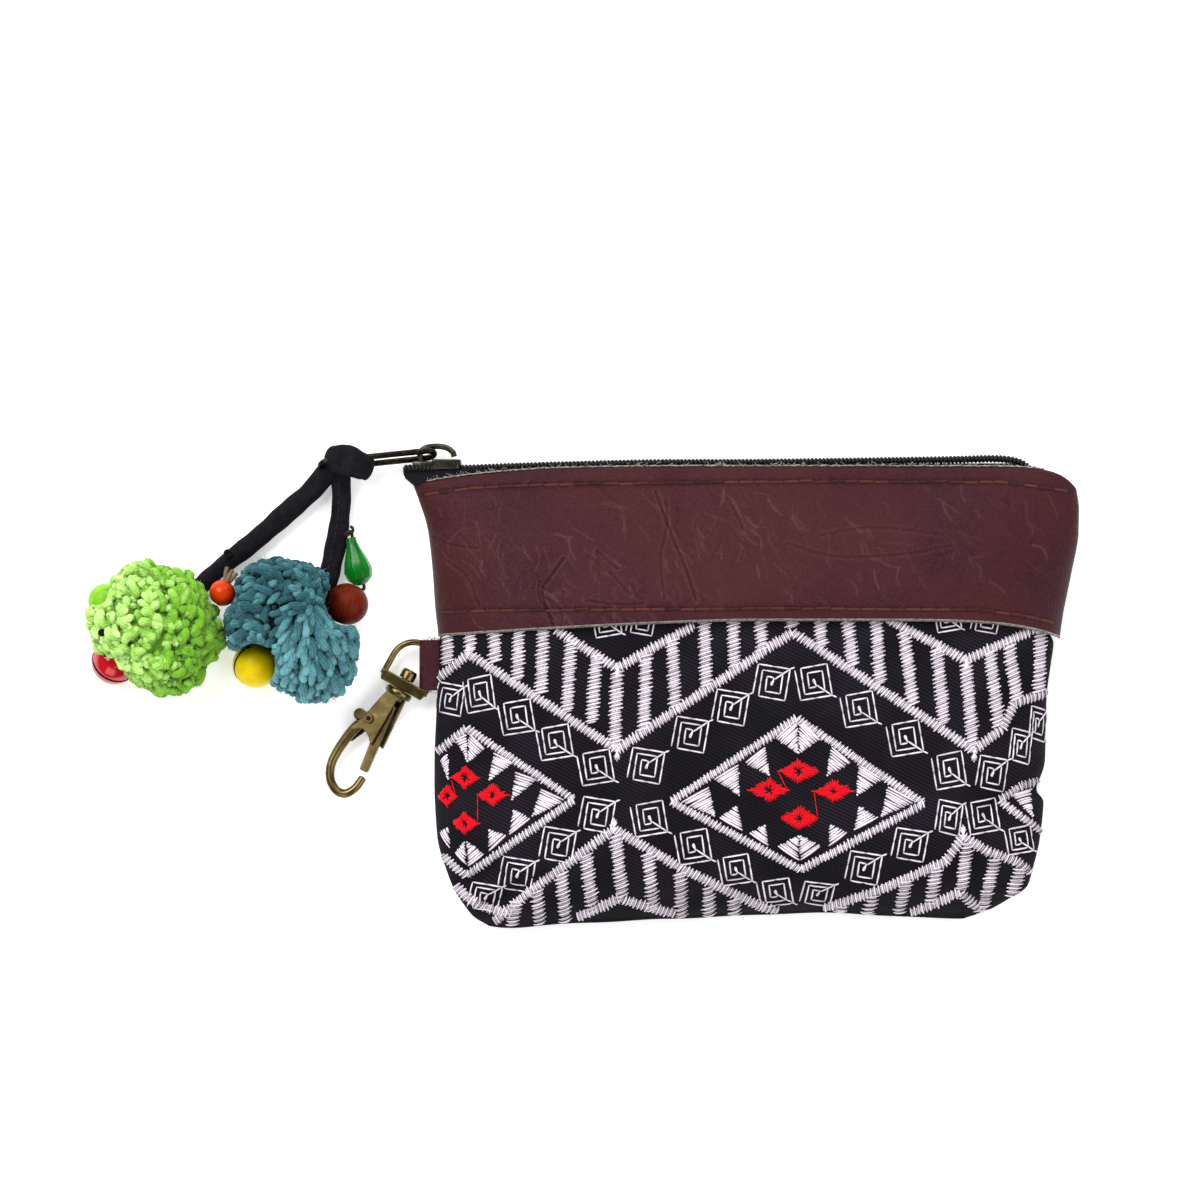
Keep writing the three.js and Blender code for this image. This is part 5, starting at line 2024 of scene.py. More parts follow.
@dataclass
class SideTab:
    """Leather tab folded round the clasp's eye and caught in the side seam."""

    finishes: Finishes
    left: float = -55.9
    right: float = -51.8
    low: float = -0.8
    high: float = 9.3
    wall: float = 1.1
    slot: float = 1.7
    seam: float = 2.9
    fibres: int = 22

    def build(self) -> None:
        """Make the tab."""
        half, inner = self.slot / 2 + self.wall, self.slot / 2
        upper = ((self.right, half), (self.left + 1.5, half), (self.left + 0.5, half - 0.45), (self.left, inner - 0.2))
        lower = tuple((x, -y) for x, y in reversed(upper))
        end = self.left + self.wall
        outline = (*upper, *lower, (self.right, -inner), (end, -inner), (end, inner), (self.right, inner))
        item = Shaper.plate("side_tab_leather", outline, -self.high, -self.low, 0.22)
        upright = Matrix.Rotation(math.pi / 2, 4, "X")
        Shaper.moved(item, Matrix.Translation((0, 0, self.seam)) @ upright)
        item.data.materials.append(self.finishes.leather)
        item.data.materials.append(self.finishes.raw_edge)
        for face in item.data.polygons:
            face.material_index = int(abs(face.normal.y) > 0.9)
        chance = np.random.default_rng(9)
        heap = Heap()
        top = self.seam + half - 0.15
        for edge, way in ((self.high, 1.0), (self.low, -1.0)):
            for _ in range(self.fibres):
                start = np.array([chance.uniform(self.left + 0.3, self.right), edge - way * 0.2, top])
                ahead = np.array([chance.normal(0, 0.3), way * chance.uniform(0.3, 0.9), chance.uniform(-0.6, 0.2)])
                heap.fibre(start, ahead, chance.normal(0, 0.1, 3), 0.06, 0.4)
        Dresser.done(heap.build("side_tab_fibres", [self.finishes.bead_thread]), Slot.LEATHER)
        Dresser.done(item, Slot.LEATHER, "side_tab")


@dataclass
class Clasp:
    """Swivel trigger clasp: an eye, a hook that turns in it, and a sprung gate lever."""

    finishes: Finishes
    centre: Point = (-59.5, 0.5, 2.9)
    heading: float = math.radians(240.8)
    roll: float = math.radians(10)
    wire: float = 0.66
    half_width: float = 4.6
    straight: float = 4.5
    bar_half: float = 1.1
    bar_high: float = 1.5
    chamfer: float = 0.7
    pivot: Pair = (9.2, -2.0)
    gate_half: float = 0.8
    plate_low: float = 1.1
    plate_high: float = 1.9
    # The swivel and the rivet are turned from places along their axis and radii.
    swivel: Pairs = (
        (-3.3, 0.0), (-3.3, 1.1), (-3.22, 1.32), (-3.0, 1.5), (-2.7, 1.6), (-1.35, 1.6), (-1.22, 1.5), (-1.22, 0.9),
        (1.2, 0.9), (1.2, 2.4), (1.35, 2.65), (1.6, 2.78), (2.1, 2.78), (2.45, 2.65), (2.6, 2.4), (2.6, 1.3),
        (3.4, 1.2), (3.4, 0.0),
    )
    rivet: Pairs = (
        (-1.2, 0.0), (-1.2, 0.55), (1.85, 0.55), (1.9, 0.98), (2.25, 0.98), (2.45, 0.82), (2.45, 0.5), (-0.9, 0.44),
        (-0.9, 0.0),
    )
    # Plates are outlines along and across the clasp.
    top_plate: Pairs = (
        (2.5, -1.6), (4.6, -2.15), (7.0, -2.7), (9.1, -3.1), (11.1, -3.8), (12.3, -4.4), (12.9, -4.2), (12.5, -3.5),
        (11.9, -2.8), (11.65, -2.1), (11.9, -1.2), (12.5, -0.2), (13.5, 0.7), (13.6, 0.95), (2.5, 1.1),
    )
    low_plate: Pairs = (
        (2.4, -1.4), (7.4, -2.7), (11.4, -4.0), (12.6, -4.0), (11.9, -2.9), (11.6, -2.1), (12.6, 0.4), (13.3, 2.95),
        (2.4, 2.2),
    )
    spine: Pairs = ((2.4, -1.4), (6.4, -2.5), (6.4, -1.75), (2.6, -0.7))
    root: Pairs = ((11.6, -4.3), (13.2, -4.3), (13.2, -2.9), (12.0, -2.9))
    channel_floor: Pairs = (
        (2.6, -1.2), (6.0, -2.0), (11.0, -2.9), (11.4, -1.5), (12.6, 1.0), (6.0, 1.7), (2.6, 1.8)
    )
    cheek: Pairs = (
        (11.7, -1.8), (12.4, -2.0), (13.6, -2.6), (14.8, -3.1), (15.2, -3.8), (14.0, -3.7), (12.3, -3.0), (11.7, -2.4)
    )
    gate: Pairs = (
        (4.6, -0.2), (8.2, -0.4), (10.4, -0.1), (19.0, 1.1), (19.0, 2.6), (18.6, 2.85), (4.6, 1.4)
    )
    web: Pairs = (
        (7.9, -3.2), (8.5, -3.2), (8.5, -1.4), (9.9, -1.4), (9.9, -3.2), (10.5, -3.2), (10.9, 0.2), (7.6, 0.2)
    )
    knob: Pair = (9.4, -4.35)
    knob_radius: float = 1.25
    hook_steps: int = 110
    hook_path: Points = (
        (11.0, -3.2, 0.75), (12.3, -3.75, 0.7), (15.0, -4.35, 0.4), (18.2, -4.7, 0.1), (21.2, -4.45, 0.0),
        (23.7, -3.1, 0.0), (25.0, -1.0, 0.0), (24.7, 0.9, 0.0), (23.0, 2.05, 0.0), (21.2, 2.4, 0.0), (19.95, 2.45, 0.0),
    )

    def seat(self, rolled: bool) -> Matrix:
        """Give the clasp's place in millimetres, rolled for what turns in the eye."""
        place = Matrix.Translation(self.centre) @ Matrix.Rotation(self.heading, 4, "Z")
        return place @ Matrix.Rotation(self.roll, 4, "X") if rolled else place

    def eye(self) -> None:
        """Make the eye: an arch of wire on a flat bar."""
        path = [(0.0, -self.half_width, 0.0), (-self.straight / 2, -self.half_width, 0.0)]
        for angle in np.linspace(0, math.pi, 11):
            reach = self.straight + self.half_width * math.sin(angle)
            path.append((-reach, -self.half_width * math.cos(angle), 0.0))
        path += [(-self.straight / 2, self.half_width, 0.0), (0.0, self.half_width, 0.0)]
        arch = Shaper.rod("arch", path, self.wire, 80)
        end = self.half_width + self.wire
        half, short = self.bar_half, end - self.chamfer
        bar = Shaper.plate(
            "bar", [(-half, -end), (half, -short), (half, short), (-half, end)], -self.bar_high, self.bar_high, 0.28
        )
        item = Shaper.joined("clasp_eye_cast", [bar, arch], self.finishes.brass)
        Shaper.moved(item, self.seat(False) @ Matrix.Translation((0.0, 0.35, 0.0)))
        Dresser.done(item, Slot.ANTIQUE_BRASS, "clasp_eye")

    def hook_radius(self) -> Array:
        """Give the hook bar's radius, swelling at the bend and rounded at the tip.

        Returns:
            Radii in millimetres.
        """
        part = np.linspace(0, 1, self.hook_steps)
        radius = 0.84 + 0.06 * np.sin(part * math.pi) + 0.28 * np.exp(-((part / 0.28) ** 2))
        tip = np.clip((part - 0.965) / 0.035, 0, 1)
        return radius * np.sqrt(np.maximum(1 - tip**2, 0.01))

    def hook(self) -> None:
        """Make the hook: rivet head, post, collar, channel body, pivot and open hook."""
        swivel = Shaper.lathe("swivel", self.swivel)
        Shaper.moved(swivel, Matrix.Translation((0.0, 0.4, 0.0)))
        top = Shaper.plate("top_plate", self.top_plate, self.plate_low, self.plate_high, 0.2)
        low = Shaper.plate("low_plate", self.low_plate, -self.plate_high, -self.plate_low, 0.2)
        spine = Shaper.plate("spine", self.spine, -1.2, 1.2, 0.15)
        root = Shaper.plate("root", self.root, -1.2, 1.2, 0.3)
        pin = Matrix.Translation((*self.pivot, 0.0))
        rivet = Shaper.lathe("rivet", self.rivet, 24)
        Shaper.moved(rivet, pin @ Matrix.Rotation(-math.pi / 2, 4, "Y"))
        bar = Shaper.rod("hook_bar", self.hook_path, self.hook_radius(), self.hook_steps, 20)
        # A thin dark oval on the rivet head stands for the pin's slot: painted shade in the slot.
        turn = np.linspace(0, math.tau, 16, endpoint=False)
        oval = [(0.5 * math.cos(angle), 0.3 * math.sin(angle)) for angle in turn]
        hole = Shaper.plate("pin_slot_shade", oval, 2.3, 2.5, 0.02)
        Shaper.moved(hole, pin @ Matrix.Rotation(0.5, 4, "Z"))
        floor = Shaper.plate("channel_floor", self.channel_floor, -1.12, -1.0, 0.02)
        cheek = Shaper.plate("hook_cheek", self.cheek, -0.9, 0.1, 0.1)
        # The spine, channel floor and cheek are dark brass: painted shade inside the channel, together with its darker
        # patina.
        channel = Shaper.joined("clasp_channel_cast", [spine, hole, floor, cheek], self.finishes.patina_and_shade_brass)
        Dresser.done(Shaper.moved(channel, self.seat(True)), Slot.ANTIQUE_BRASS, body=Body.HOOK)
        item = Shaper.joined("clasp_hook_cast", [top, low, root, rivet, bar, swivel], self.finishes.brass)
        Shaper.moved(item, self.seat(True))
        Dresser.done(item, Slot.ANTIQUE_BRASS, "clasp_hook", body=Body.HOOK)

    def lever(self) -> None:
        """Make the lever: a gate bar, a web round the pin and a thumb tab."""
        half = self.gate_half
        gate = Shaper.plate("gate", self.gate, -half, half, 0.3)
        web = Shaper.plate("web", self.web, -half + 0.02, half - 0.02, 0.1)
        x, y = self.knob
        turn = np.linspace(math.radians(20), math.radians(-200), 13)
        knob = [(x + self.knob_radius * math.cos(angle), y + self.knob_radius * math.sin(angle)) for angle in turn]
        thumb = Shaper.plate("thumb", [(10.3, -2.6), (10.5, -3.8), *knob, (8.4, -2.6)], -half, half, 0.4)
        item = Shaper.joined("clasp_lever_cast", [gate, web, thumb], self.finishes.brass)
        Shaper.moved(item, self.seat(True))
        Dresser.done(item, Slot.ANTIQUE_BRASS, "clasp_lever", body=Body.LEVER)

    def build(self) -> None:
        """Make the eye, the hook and the lever."""
        for make in (self.eye, self.hook, self.lever):
            make()


@dataclass
class Strand:
    """One strand of the strap: a sewn cloth tube with a seam along its top."""

    name: str
    route: Points
    finishes: Finishes
    node: str
    radius: float = 2.0
    sewn: bool = False
    ends: Pair = (1.0, 1.0)
    steps: int = 120
    sides: int = 28
    seam_pitch: float = 1.7
    seam_stitch: float = 1.2

    def tube(self) -> Tube:
        """Give the strand's centreline."""
        return Tube(self.route, self.steps)

    def build(self) -> Item:
        """Make the strand.

        Returns:
            The object.
        """
        tube = self.tube()
        run = tube.lengths()
        swell = 1 + 0.035 * np.sin(run * 0.55 + 0.6) + 0.02 * np.sin(run * 1.35)
        swell = swell * np.interp(run, [0, run[-1] * 0.45, run[-1]], [self.ends[0], 1.0, self.ends[1]])
        points, faces, uv = tube.skin(self.radius * 1.05 * swell, self.radius * 0.95, self.sides)
        turn = np.tile(np.linspace(0, math.tau, self.sides, endpoint=False), self.steps)
        along = np.repeat(run, self.sides)
        off = (turn - math.pi / 2 - 0.15) / 0.2
        press = (0.5 if self.sewn else 0.05) * np.exp(-(off**2)) + 0.07 * np.sin(along * 1.9 + turn * 3.0)
        up = np.repeat(tube.up, self.sides, axis=0)
        points[: len(turn)] -= up * (press * np.clip(np.sin(turn), 0, 1))[:, None]
        uv[:, 0] *= self.radius * math.tau / 4
        heap = Heap()
        heap.add(points, faces, 0.5, uv)
        item = heap.build(self.name, [self.finishes.strap])
        return Dresser.done(item, Slot.STRAP, self.node)

    def stitches(self) -> Item:
        """Sew the strand's seam.

        Returns:
            The object.
        """
        tube = self.tube()
        run = tube.lengths()
        heap = Heap()
        for start in np.arange(1.5, run[-1] - 3.0, self.seam_pitch):
            place = np.linspace(start, start + self.seam_stitch, 5)
            middle = np.stack([np.interp(place, run, tube.points[:, axis]) for axis in range(3)], axis=1)
            side = np.stack([np.interp(place, run, tube.side[:, axis]) for axis in range(3)], axis=1)
            middle = middle - side * 0.42
            middle[:, 2] += self.radius * 0.95 - 0.42 + 0.14 * np.sin(np.linspace(0, math.pi, 5))
            heap.sweep(Tube(middle), 0.17, 0.15, 6, 0.1)
        item = heap.build(self.name + "_seam", [self.finishes.seam_thread])
        return Dresser.done(item, Slot.STRAP)


@dataclass
class Knot:
    """Lark's head of the strap over the zip pull."""

    finishes: Finishes
    half_thick: float = 1.0
    tuck_thick: float = 0.8
    tuck_widths: Pairs = ((0.0, 1.5), (1.0, 1.5))
    # Half widths of the wrap at parts of its run.
    widths: Pairs = ((0.0, 2.2), (0.2, 1.6), (0.5, 3.3), (0.75, 2.4), (1.0, 2.2))
    wrap: Points = (
        (-69.6, 44.9, 1.6), (-71.8, 45.4, 1.8), (-73.4, 45.9, 2.7), (-73.9, 46.0, 4.3), (-72.8, 45.8, 6.0),
        (-69.8, 45.0, 7.0), (-67.2, 44.0, 6.2), (-66.1, 43.5, 4.5), (-66.8, 43.8, 2.6), (-68.8, 44.6, 1.7),
    )
    tuck: Points = (
        (-70.4, 43.4, 2.0), (-72.6, 44.0, 2.6), (-73.6, 44.0, 3.9), (-72.8, 43.6, 4.9), (-71.0, 43.2, 4.6),
    )

    def build(self) -> None:
        """Wrap the strap round the pull."""
        heap = Heap()
        layers = ((self.wrap, self.widths, self.half_thick), (self.tuck, self.tuck_widths, self.tuck_thick))
        for path, widths, thick in layers:
            tube = Tube(path, 72)
            run = tube.lengths()
            wide = np.interp(run / run[-1], *np.transpose(widths))
            points, faces, uv = tube.skin(wide * (1 + 0.02 * np.sin(run * 2.3)), thick, 28)
            uv[:, 0] *= 3.2
            heap.add(points, faces, 0.5, uv)
        item = heap.build("strap_knot_cloth", [self.finishes.strap])
        Dresser.done(item, Slot.STRAP, "strap_knot")


@dataclass
class Pompom:
    """A pompom of thick yarn ends packed round a core."""

    name: str
    node: str
    slot: Slot
    material: Material
    middle: Point
    height: float
    outline: Pairs
    count: int
    seed: int
    yarn: float = 0.8
    fibres: int = 1500
    length: Pair = (2.6, 4.2)
    lean: Pair = (0.5, 2.2)
    give: float = 1.1
    whorl: Optional[Pair] = None
    # Ends that face this direction are toned lighter: painted light on that side and painted shade on the far side.
    shade: tuple[float, float, float] = (0.0, 0.0, 0.0)
    # Clear places are a middle, a radius and whether they are clear from above too.
    clear: tuple[tuple[float, float, float, float, bool], ...] = ()

    def reach(self, turn: Array) -> Array:
        """Give the outline's distance from the middle.

        Args:
            turn: Directions in the view.

        Returns:
            Distances in millimetres.
        """
        off = np.asarray(self.outline) - np.asarray(self.middle[:2])
        angle = np.arctan2(off[:, 1], off[:, 0])
        order = np.argsort(angle)
        return np.interp(turn, angle[order], np.hypot(off[:, 0], off[:, 1])[order], period=math.tau)

    def surface(self, way: Array, scale: float = 1.0) -> Array:
        """Give points of the head in given directions.

        Args:
            way: Unit directions.
            scale: Size as a part of the whole.

        Returns:
            Points in millimetres.
        """
        turn = np.arctan2(way[..., 1], way[..., 0])
        flat = np.hypot(way[..., 0], way[..., 1])
        far = self.reach(turn) - self.yarn * 0.9
        bulge = flat**0.85
        x, y = np.cos(turn) * far * bulge, np.sin(turn) * far * bulge
        point = np.stack([x, y, way[..., 2] * self.height], axis=-1)
        return point * scale + np.asarray(self.middle)

    def blocked(self, points: Array, size: float) -> Array:
        """Tell which points come nearer to the bells and beads than a given size."""
        return np.abs(self.pushed(points, size) - points).max(axis=1) > 1e-6

    def yarn_end(self, heap: Heap, base: Array, tip: Array, bow: Array, tone: float, size: float) -> None:
        """Add one yarn end with a rounded tip.

        Args:
            heap: Takes the mesh.
            base: Where it starts.
            tip: Where it ends.
            bow: How far its middle bows aside.
            tone: Its tone.
            size: Its radius.
        """
        part = np.linspace(0, 1, 7)
        straight = base + (tip - base) * part[:, None] + bow * np.sin(part * math.pi)[:, None]
        path = self.pushed(straight, size)
        if np.abs(path - straight).max() > self.give:
            return
        path[:, 2] = np.maximum(path[:, 2], 0.25 + size * 0.75)
        if np.linalg.norm(np.diff(path, axis=0), axis=1).min() < 0.05:
            return
        thick = size * np.sqrt(np.clip(1 - np.clip((part - 0.72) / 0.28, 0, 1) ** 2, 0.05, 1))
        tube = Tube(path)
        points, faces, uv = tube.skin(thick, thick, 8)
        turn = np.linspace(0, math.tau, 8, endpoint=False)
        ply = 1 + 0.11 * np.cos(2 * turn[None, :] - 2.6 * tube.lengths()[:, None] + tone * 9)
        ring = points[: ply.size].reshape(len(part), 8, 3)
        points[: ply.size] = (path[:, None] + (ring - path[:, None]) * ply[..., None]).reshape(-1, 3)
        # Each end darkens towards its base: painted shade deep in the pompom.
        shade = np.concatenate([np.repeat(tone * (0.4 + 0.6 * part), 8), [0.0, tone]])
        heap.add(points, faces, shade, uv)

    def pushed(self, path: Array, size: float) -> Array:
        """Push a path out of the way of the bells and beads.

        Args:
            path: Points of a yarn end or of the core.
            size: How far they stay away.

        Returns:
            The points.
        """
        path = path.copy()
        for x, y, z, radius, upright in self.clear:
            off = path - (x, y, z)
            if upright:
                off[:, 2] *= off[:, 2] < -radius
            away = np.linalg.norm(off, axis=1)
            move = np.clip(radius + size - away, 0, None) * (away > 0.05)
            path = path + off * (move / np.maximum(away, 0.05))[:, None]
        return path

    def fuzz(self, heap: Heap, chance: np.random.Generator) -> None:
        """Add thin loose fibres all round.

        Args:
            heap: Takes the mesh.
            chance: Source of the differences.
        """
        for _ in range(self.fibres):
            out = chance.normal(0, 1, 3)
            out[2] = abs(out[2]) - 0.3
            out = out / np.linalg.norm(out)
            start = self.surface(out, 0.98)
            if start[2] < 1.0 or self.blocked(start[None], 0.3)[0]:
                continue
            way = out * chance.uniform(0.2, 0.6) + chance.normal(0, 0.45, 3)
            heap.fibre(start, way, chance.normal(0, 0.4, 3), 0.05, chance.uniform(0.5, 1.0))

    def build(self) -> Item:
        """Make the pompom.

        Returns:
            The object.
        """
        chance = np.random.default_rng(self.seed)
        heap = Heap()
        tilts, turns = np.linspace(-1.5, 1.5, 16), np.linspace(0, math.tau, 33)[:-1]
        tilt, turn = np.meshgrid(tilts, turns, indexing="ij")
        way = np.stack([np.cos(tilt) * np.cos(turn), np.cos(tilt) * np.sin(turn), np.sin(tilt)], -1)
        core = self.surface(way, 0.86).reshape(-1, 3)
        for _ in range(40):
            near = self.blocked(core, 0.6)
            core[near] = self.middle + (core[near] - self.middle) * 0.93
        core[:, 2] = np.maximum(core[:, 2], 0.4)
        # The core takes the lowest tone: painted shade under the yarn ends.
        heap.add(core, Mesher.grid_faces(16, 32, closed=True), -0.2)
        golden = math.pi * (3 - math.sqrt(5))
        for index in range(self.count):
            level = 1 - 2 * (index + 0.5) / self.count
            flat = math.sqrt(1 - level * level)
            out = np.array([flat * math.cos(golden * index), flat * math.sin(golden * index), level])
            tip = self.surface(out, 0.98 + chance.normal(0, 0.03))
            if tip[2] < 0.6:
                continue
            aside = chance.normal(0, 1.0, 3)
            size = self.yarn * chance.uniform(0.8, 1.15)
            long = chance.uniform(*self.length)
            lean = chance.uniform(*self.lean)
            bow = out * chance.uniform(0.2, 0.9) + chance.normal(0, 0.4, 3)
            share = 0.0
            if self.whorl is not None and level > 0.0:
                share = 0.85 if tip[1] < self.whorl[1] and tip[0] > self.whorl[0] - 8 else 0.15
            if chance.random() < share:
                away = np.array([tip[0] - self.whorl[0], tip[1] - self.whorl[1], 0.0])
                far = np.linalg.norm(away)
                aside = away / max(far, 0.5) * 2.4 + np.array([0.0, 0.0, -0.06 * far]) + aside * 0.45
                long = chance.uniform(3.2, 5.2)
                lean = chance.uniform(1.2, 2.4)
                bow = out * chance.uniform(0.5, 1.2) + chance.normal(0, 0.35, 3)
            aside = aside - out * np.dot(aside, out)
            heading = out + aside / max(np.linalg.norm(aside), 1e-6) * lean
            heading = heading / np.linalg.norm(heading)
            # Painted light on the side facing the shade direction, painted shade on the other side.
            light = np.dot(out, self.shade)
            tone = float(np.clip(chance.uniform(0.35, 0.9) + light, 0.1, 1.1))
            self.yarn_end(heap, tip - heading * long, tip, bow, tone, size)
        self.fuzz(heap, chance)
        item = heap.build(self.name, [self.material])
        return Dresser.done(Mesher.outward(item), self.slot, self.node)


@dataclass
class Bell:
    """A jingle bell: a thin shell with a slit across it."""

    name: str
    slot: Slot
    material: Material
    inside: Material
    middle: Point
    ends: tuple[Point, Point]
    radius: float = 4.6
    wall: float = 0.45
    slit: float = 0.8

    def build(self) -> Item:
        """Make the bell.

        Returns:
            The object.
        """
        first, last = (Vector(end).normalized() for end in self.ends)
        half = first.angle(last) / 2
        bpy.ops.object.select_all(action="DESELECT")
        bpy.ops.mesh.primitive_uv_sphere_add(segments=72, ring_count=48, radius=self.radius * MM)
        item = bpy.context.object
        bpy.ops.object.mode_set(mode="EDIT")
        bpy.ops.mesh.select_all(action="DESELECT")
        bpy.ops.object.mode_set(mode="OBJECT")
        for face in item.data.polygons:
            around = abs(math.atan2(face.center.y, face.center.x))
            wide = 1.8 if abs(around - half) < 0.12 else 1.0
            face.select = abs(face.center.z) < self.slit / 2 * MM * wide and around < half + 0.1
        bpy.ops.object.mode_set(mode="EDIT")
        bpy.ops.mesh.delete(type="FACE")
        bpy.ops.object.mode_set(mode="OBJECT")
        shell = item.modifiers.new("wall", "SOLIDIFY")
        shell.thickness = self.wall * MM
        # The inner face and the slit's rim take the near black inside material: painted shade in the shell.
        shell.material_offset = 1
        shell.material_offset_rim = 1
        for material in (self.material, self.inside):
            item.data.materials.append(material)
        bpy.ops.object.modifier_apply(modifier=shell.name)
        bpy.ops.object.shade_smooth_by_angle(angle=math.radians(35))
        upright = first.cross(last).normalized()
        middle = (first + last).normalized()
        axes = (middle, upright.cross(middle), upright)
        turn = Matrix([list(axis) for axis in axes]).transposed().to_4x4()
        Shaper.moved(item, Matrix.Translation(self.middle) @ turn)
        item.name = item.data.name = self.name
        return Dresser.done(item, self.slot, self.name.removesuffix("_shell"))


@dataclass
class Bead:
    """A round bead with a thread hole."""

    name: str
    slot: Slot
    material: Material
    middle: Point
    radius: float
    heading: float
    hole: float = 0.6
    squash: float = 0.97

    def profile(self) -> list[Pair]:
        """Give the bead's turned outline.

        Returns:
            Places along the hole and radii, closed on themselves.
        """
        edge = math.asin((self.hole + 0.25) / self.radius)
        turn = np.linspace(edge, math.pi - edge, 25)
        shape = [(-math.cos(t) * self.radius * self.squash, math.sin(t) * self.radius) for t in turn]
        reach = shape[-1][0] - 0.12
        return [(-reach, self.hole), *shape, (reach, self.hole), (-reach, self.hole)]

    def build(self) -> Item:
        """Make the bead.

        Returns:
            The object.
        """
        item = Shaper.lathe(self.name, self.profile(), 48)
        Shaper.moved(item, Matrix.Translation(self.middle) @ Matrix.Rotation(self.heading, 4, "Z"))
        Shaper.joined(self.name, [item], self.material)
        return Dresser.done(item, self.slot, self.name.removesuffix("_ball"))


@dataclass
class GlassDrop:
    """A faceted glass drop with its thread hole."""

    finishes: Finishes
    top: Point = (-69.7, 29.8, 3.1)
    heading: float = math.radians(-77)
    length: float = 9.8
    radius: float = 2.9
    facets: int = 10

    def build(self) -> Item:
        """Make the drop.

        Returns:
            The object.
        """
        parts = ((0.0, 0.6), (0.0, 0.95), (0.12, 1.15), (0.25, 1.5), (0.5, 0.84 * self.radius))
        parts += ((0.7, self.radius), (0.86, 0.86 * self.radius), (0.96, 0.5 * self.radius), (1.0, 0.6), (0.0, 0.6))
        item = Shaper.lathe("green_drop_glass", [(part * self.length, size) for part, size in parts], self.facets)
        Shaper.bevel(item, 0.12, 2)
        Shaper.moved(item, Matrix.Translation(self.top) @ Matrix.Rotation(self.heading, 4, "Z"))
        Shaper.joined("green_drop_glass", [item], self.finishes.glass)
        return Dresser.done(item, Slot.GREEN_GLASS, "green_drop")


@dataclass
class Threads:
    """Thin threads and small knots that tie the charm's beads on."""

    finishes: Finishes
    radius: float = 0.32
    tuft_radius: float = 0.42
    tie_radius: float = 0.4
    stub_radius: float = 0.75
    brown: tuple[Points, ...] = (
        ((-70.9, 30.4, 3.8), (-70.3, 30.9, 4.3), (-69.6, 31.0, 4.2), (-69.4, 30.4, 3.5), (-69.3, 29.6, 3.1)),
        ((-69.0, 29.9, 3.2), (-68.2, 25.4, 3.1), (-67.0, 20.1, 3.1), (-67.4, 19.4, 3.6), (-68.6, 18.9, 4.2)),
        ((-69.6, 32.0, 3.2), (-69.2, 31.6, 3.9), (-69.3, 31.0, 3.7), (-69.8, 30.6, 3.9), (-70.4, 30.2, 4.2)),
    )
    tuft: tuple[Points, ...] = (
        ((-94.4, 20.6, 7.8), (-94.0, 22.0, 8.0), (-93.2, 23.2, 7.4)),
        ((-94.2, 20.4, 8.0), (-93.2, 21.6, 8.6), (-92.4, 22.6, 8.0)),
        ((-94.6, 20.8, 7.6), (-94.6, 22.6, 7.4), (-94.3, 23.8, 6.8)),
        ((-94.9, 20.2, 7.9), (-94.2, 21.2, 8.8), (-93.6, 22.4, 8.4)),
    )
    bump: Point = (-94.2, 26.6, 4.2)
    stub: Points = ((-118.6, 10.5, 14.0), (-118.9, 10.7, 16.0), (-119.0, 10.8, 17.2))

    def build(self) -> list[Item]:
        """Make the threads.

        Returns:
            The objects.
        """
        heap = Heap()
        for path in self.brown:
            heap.sweep(Tube(path, 24), self.radius, self.radius, 8, -0.2)
        for path in self.tuft:
            heap.sweep(Tube(path, 16), self.tuft_radius, self.tuft_radius, 8, 0.8)
        bits = Dresser.done(heap.build("bead_threads", [self.finishes.bead_thread]), Slot.STRAP)
        lump = Heap()
        turn = np.linspace(0, math.tau * 2.3, 50)
        coil = np.stack([np.cos(turn) * 0.55, np.sin(turn) * 0.55, np.sin(turn * 0.4) * 0.35], axis=1)
        lump.sweep(Tube(coil + np.asarray(self.bump)), self.tie_radius, self.tie_radius, 10, 0.5)
        lump.sweep(Tube(self.stub, 8), self.stub_radius, self.stub_radius, 10, 0.5)
        tie = Dresser.done(lump.build("strap_tie", [self.finishes.black_thread]), Slot.STRAP)
        return [bits, tie]


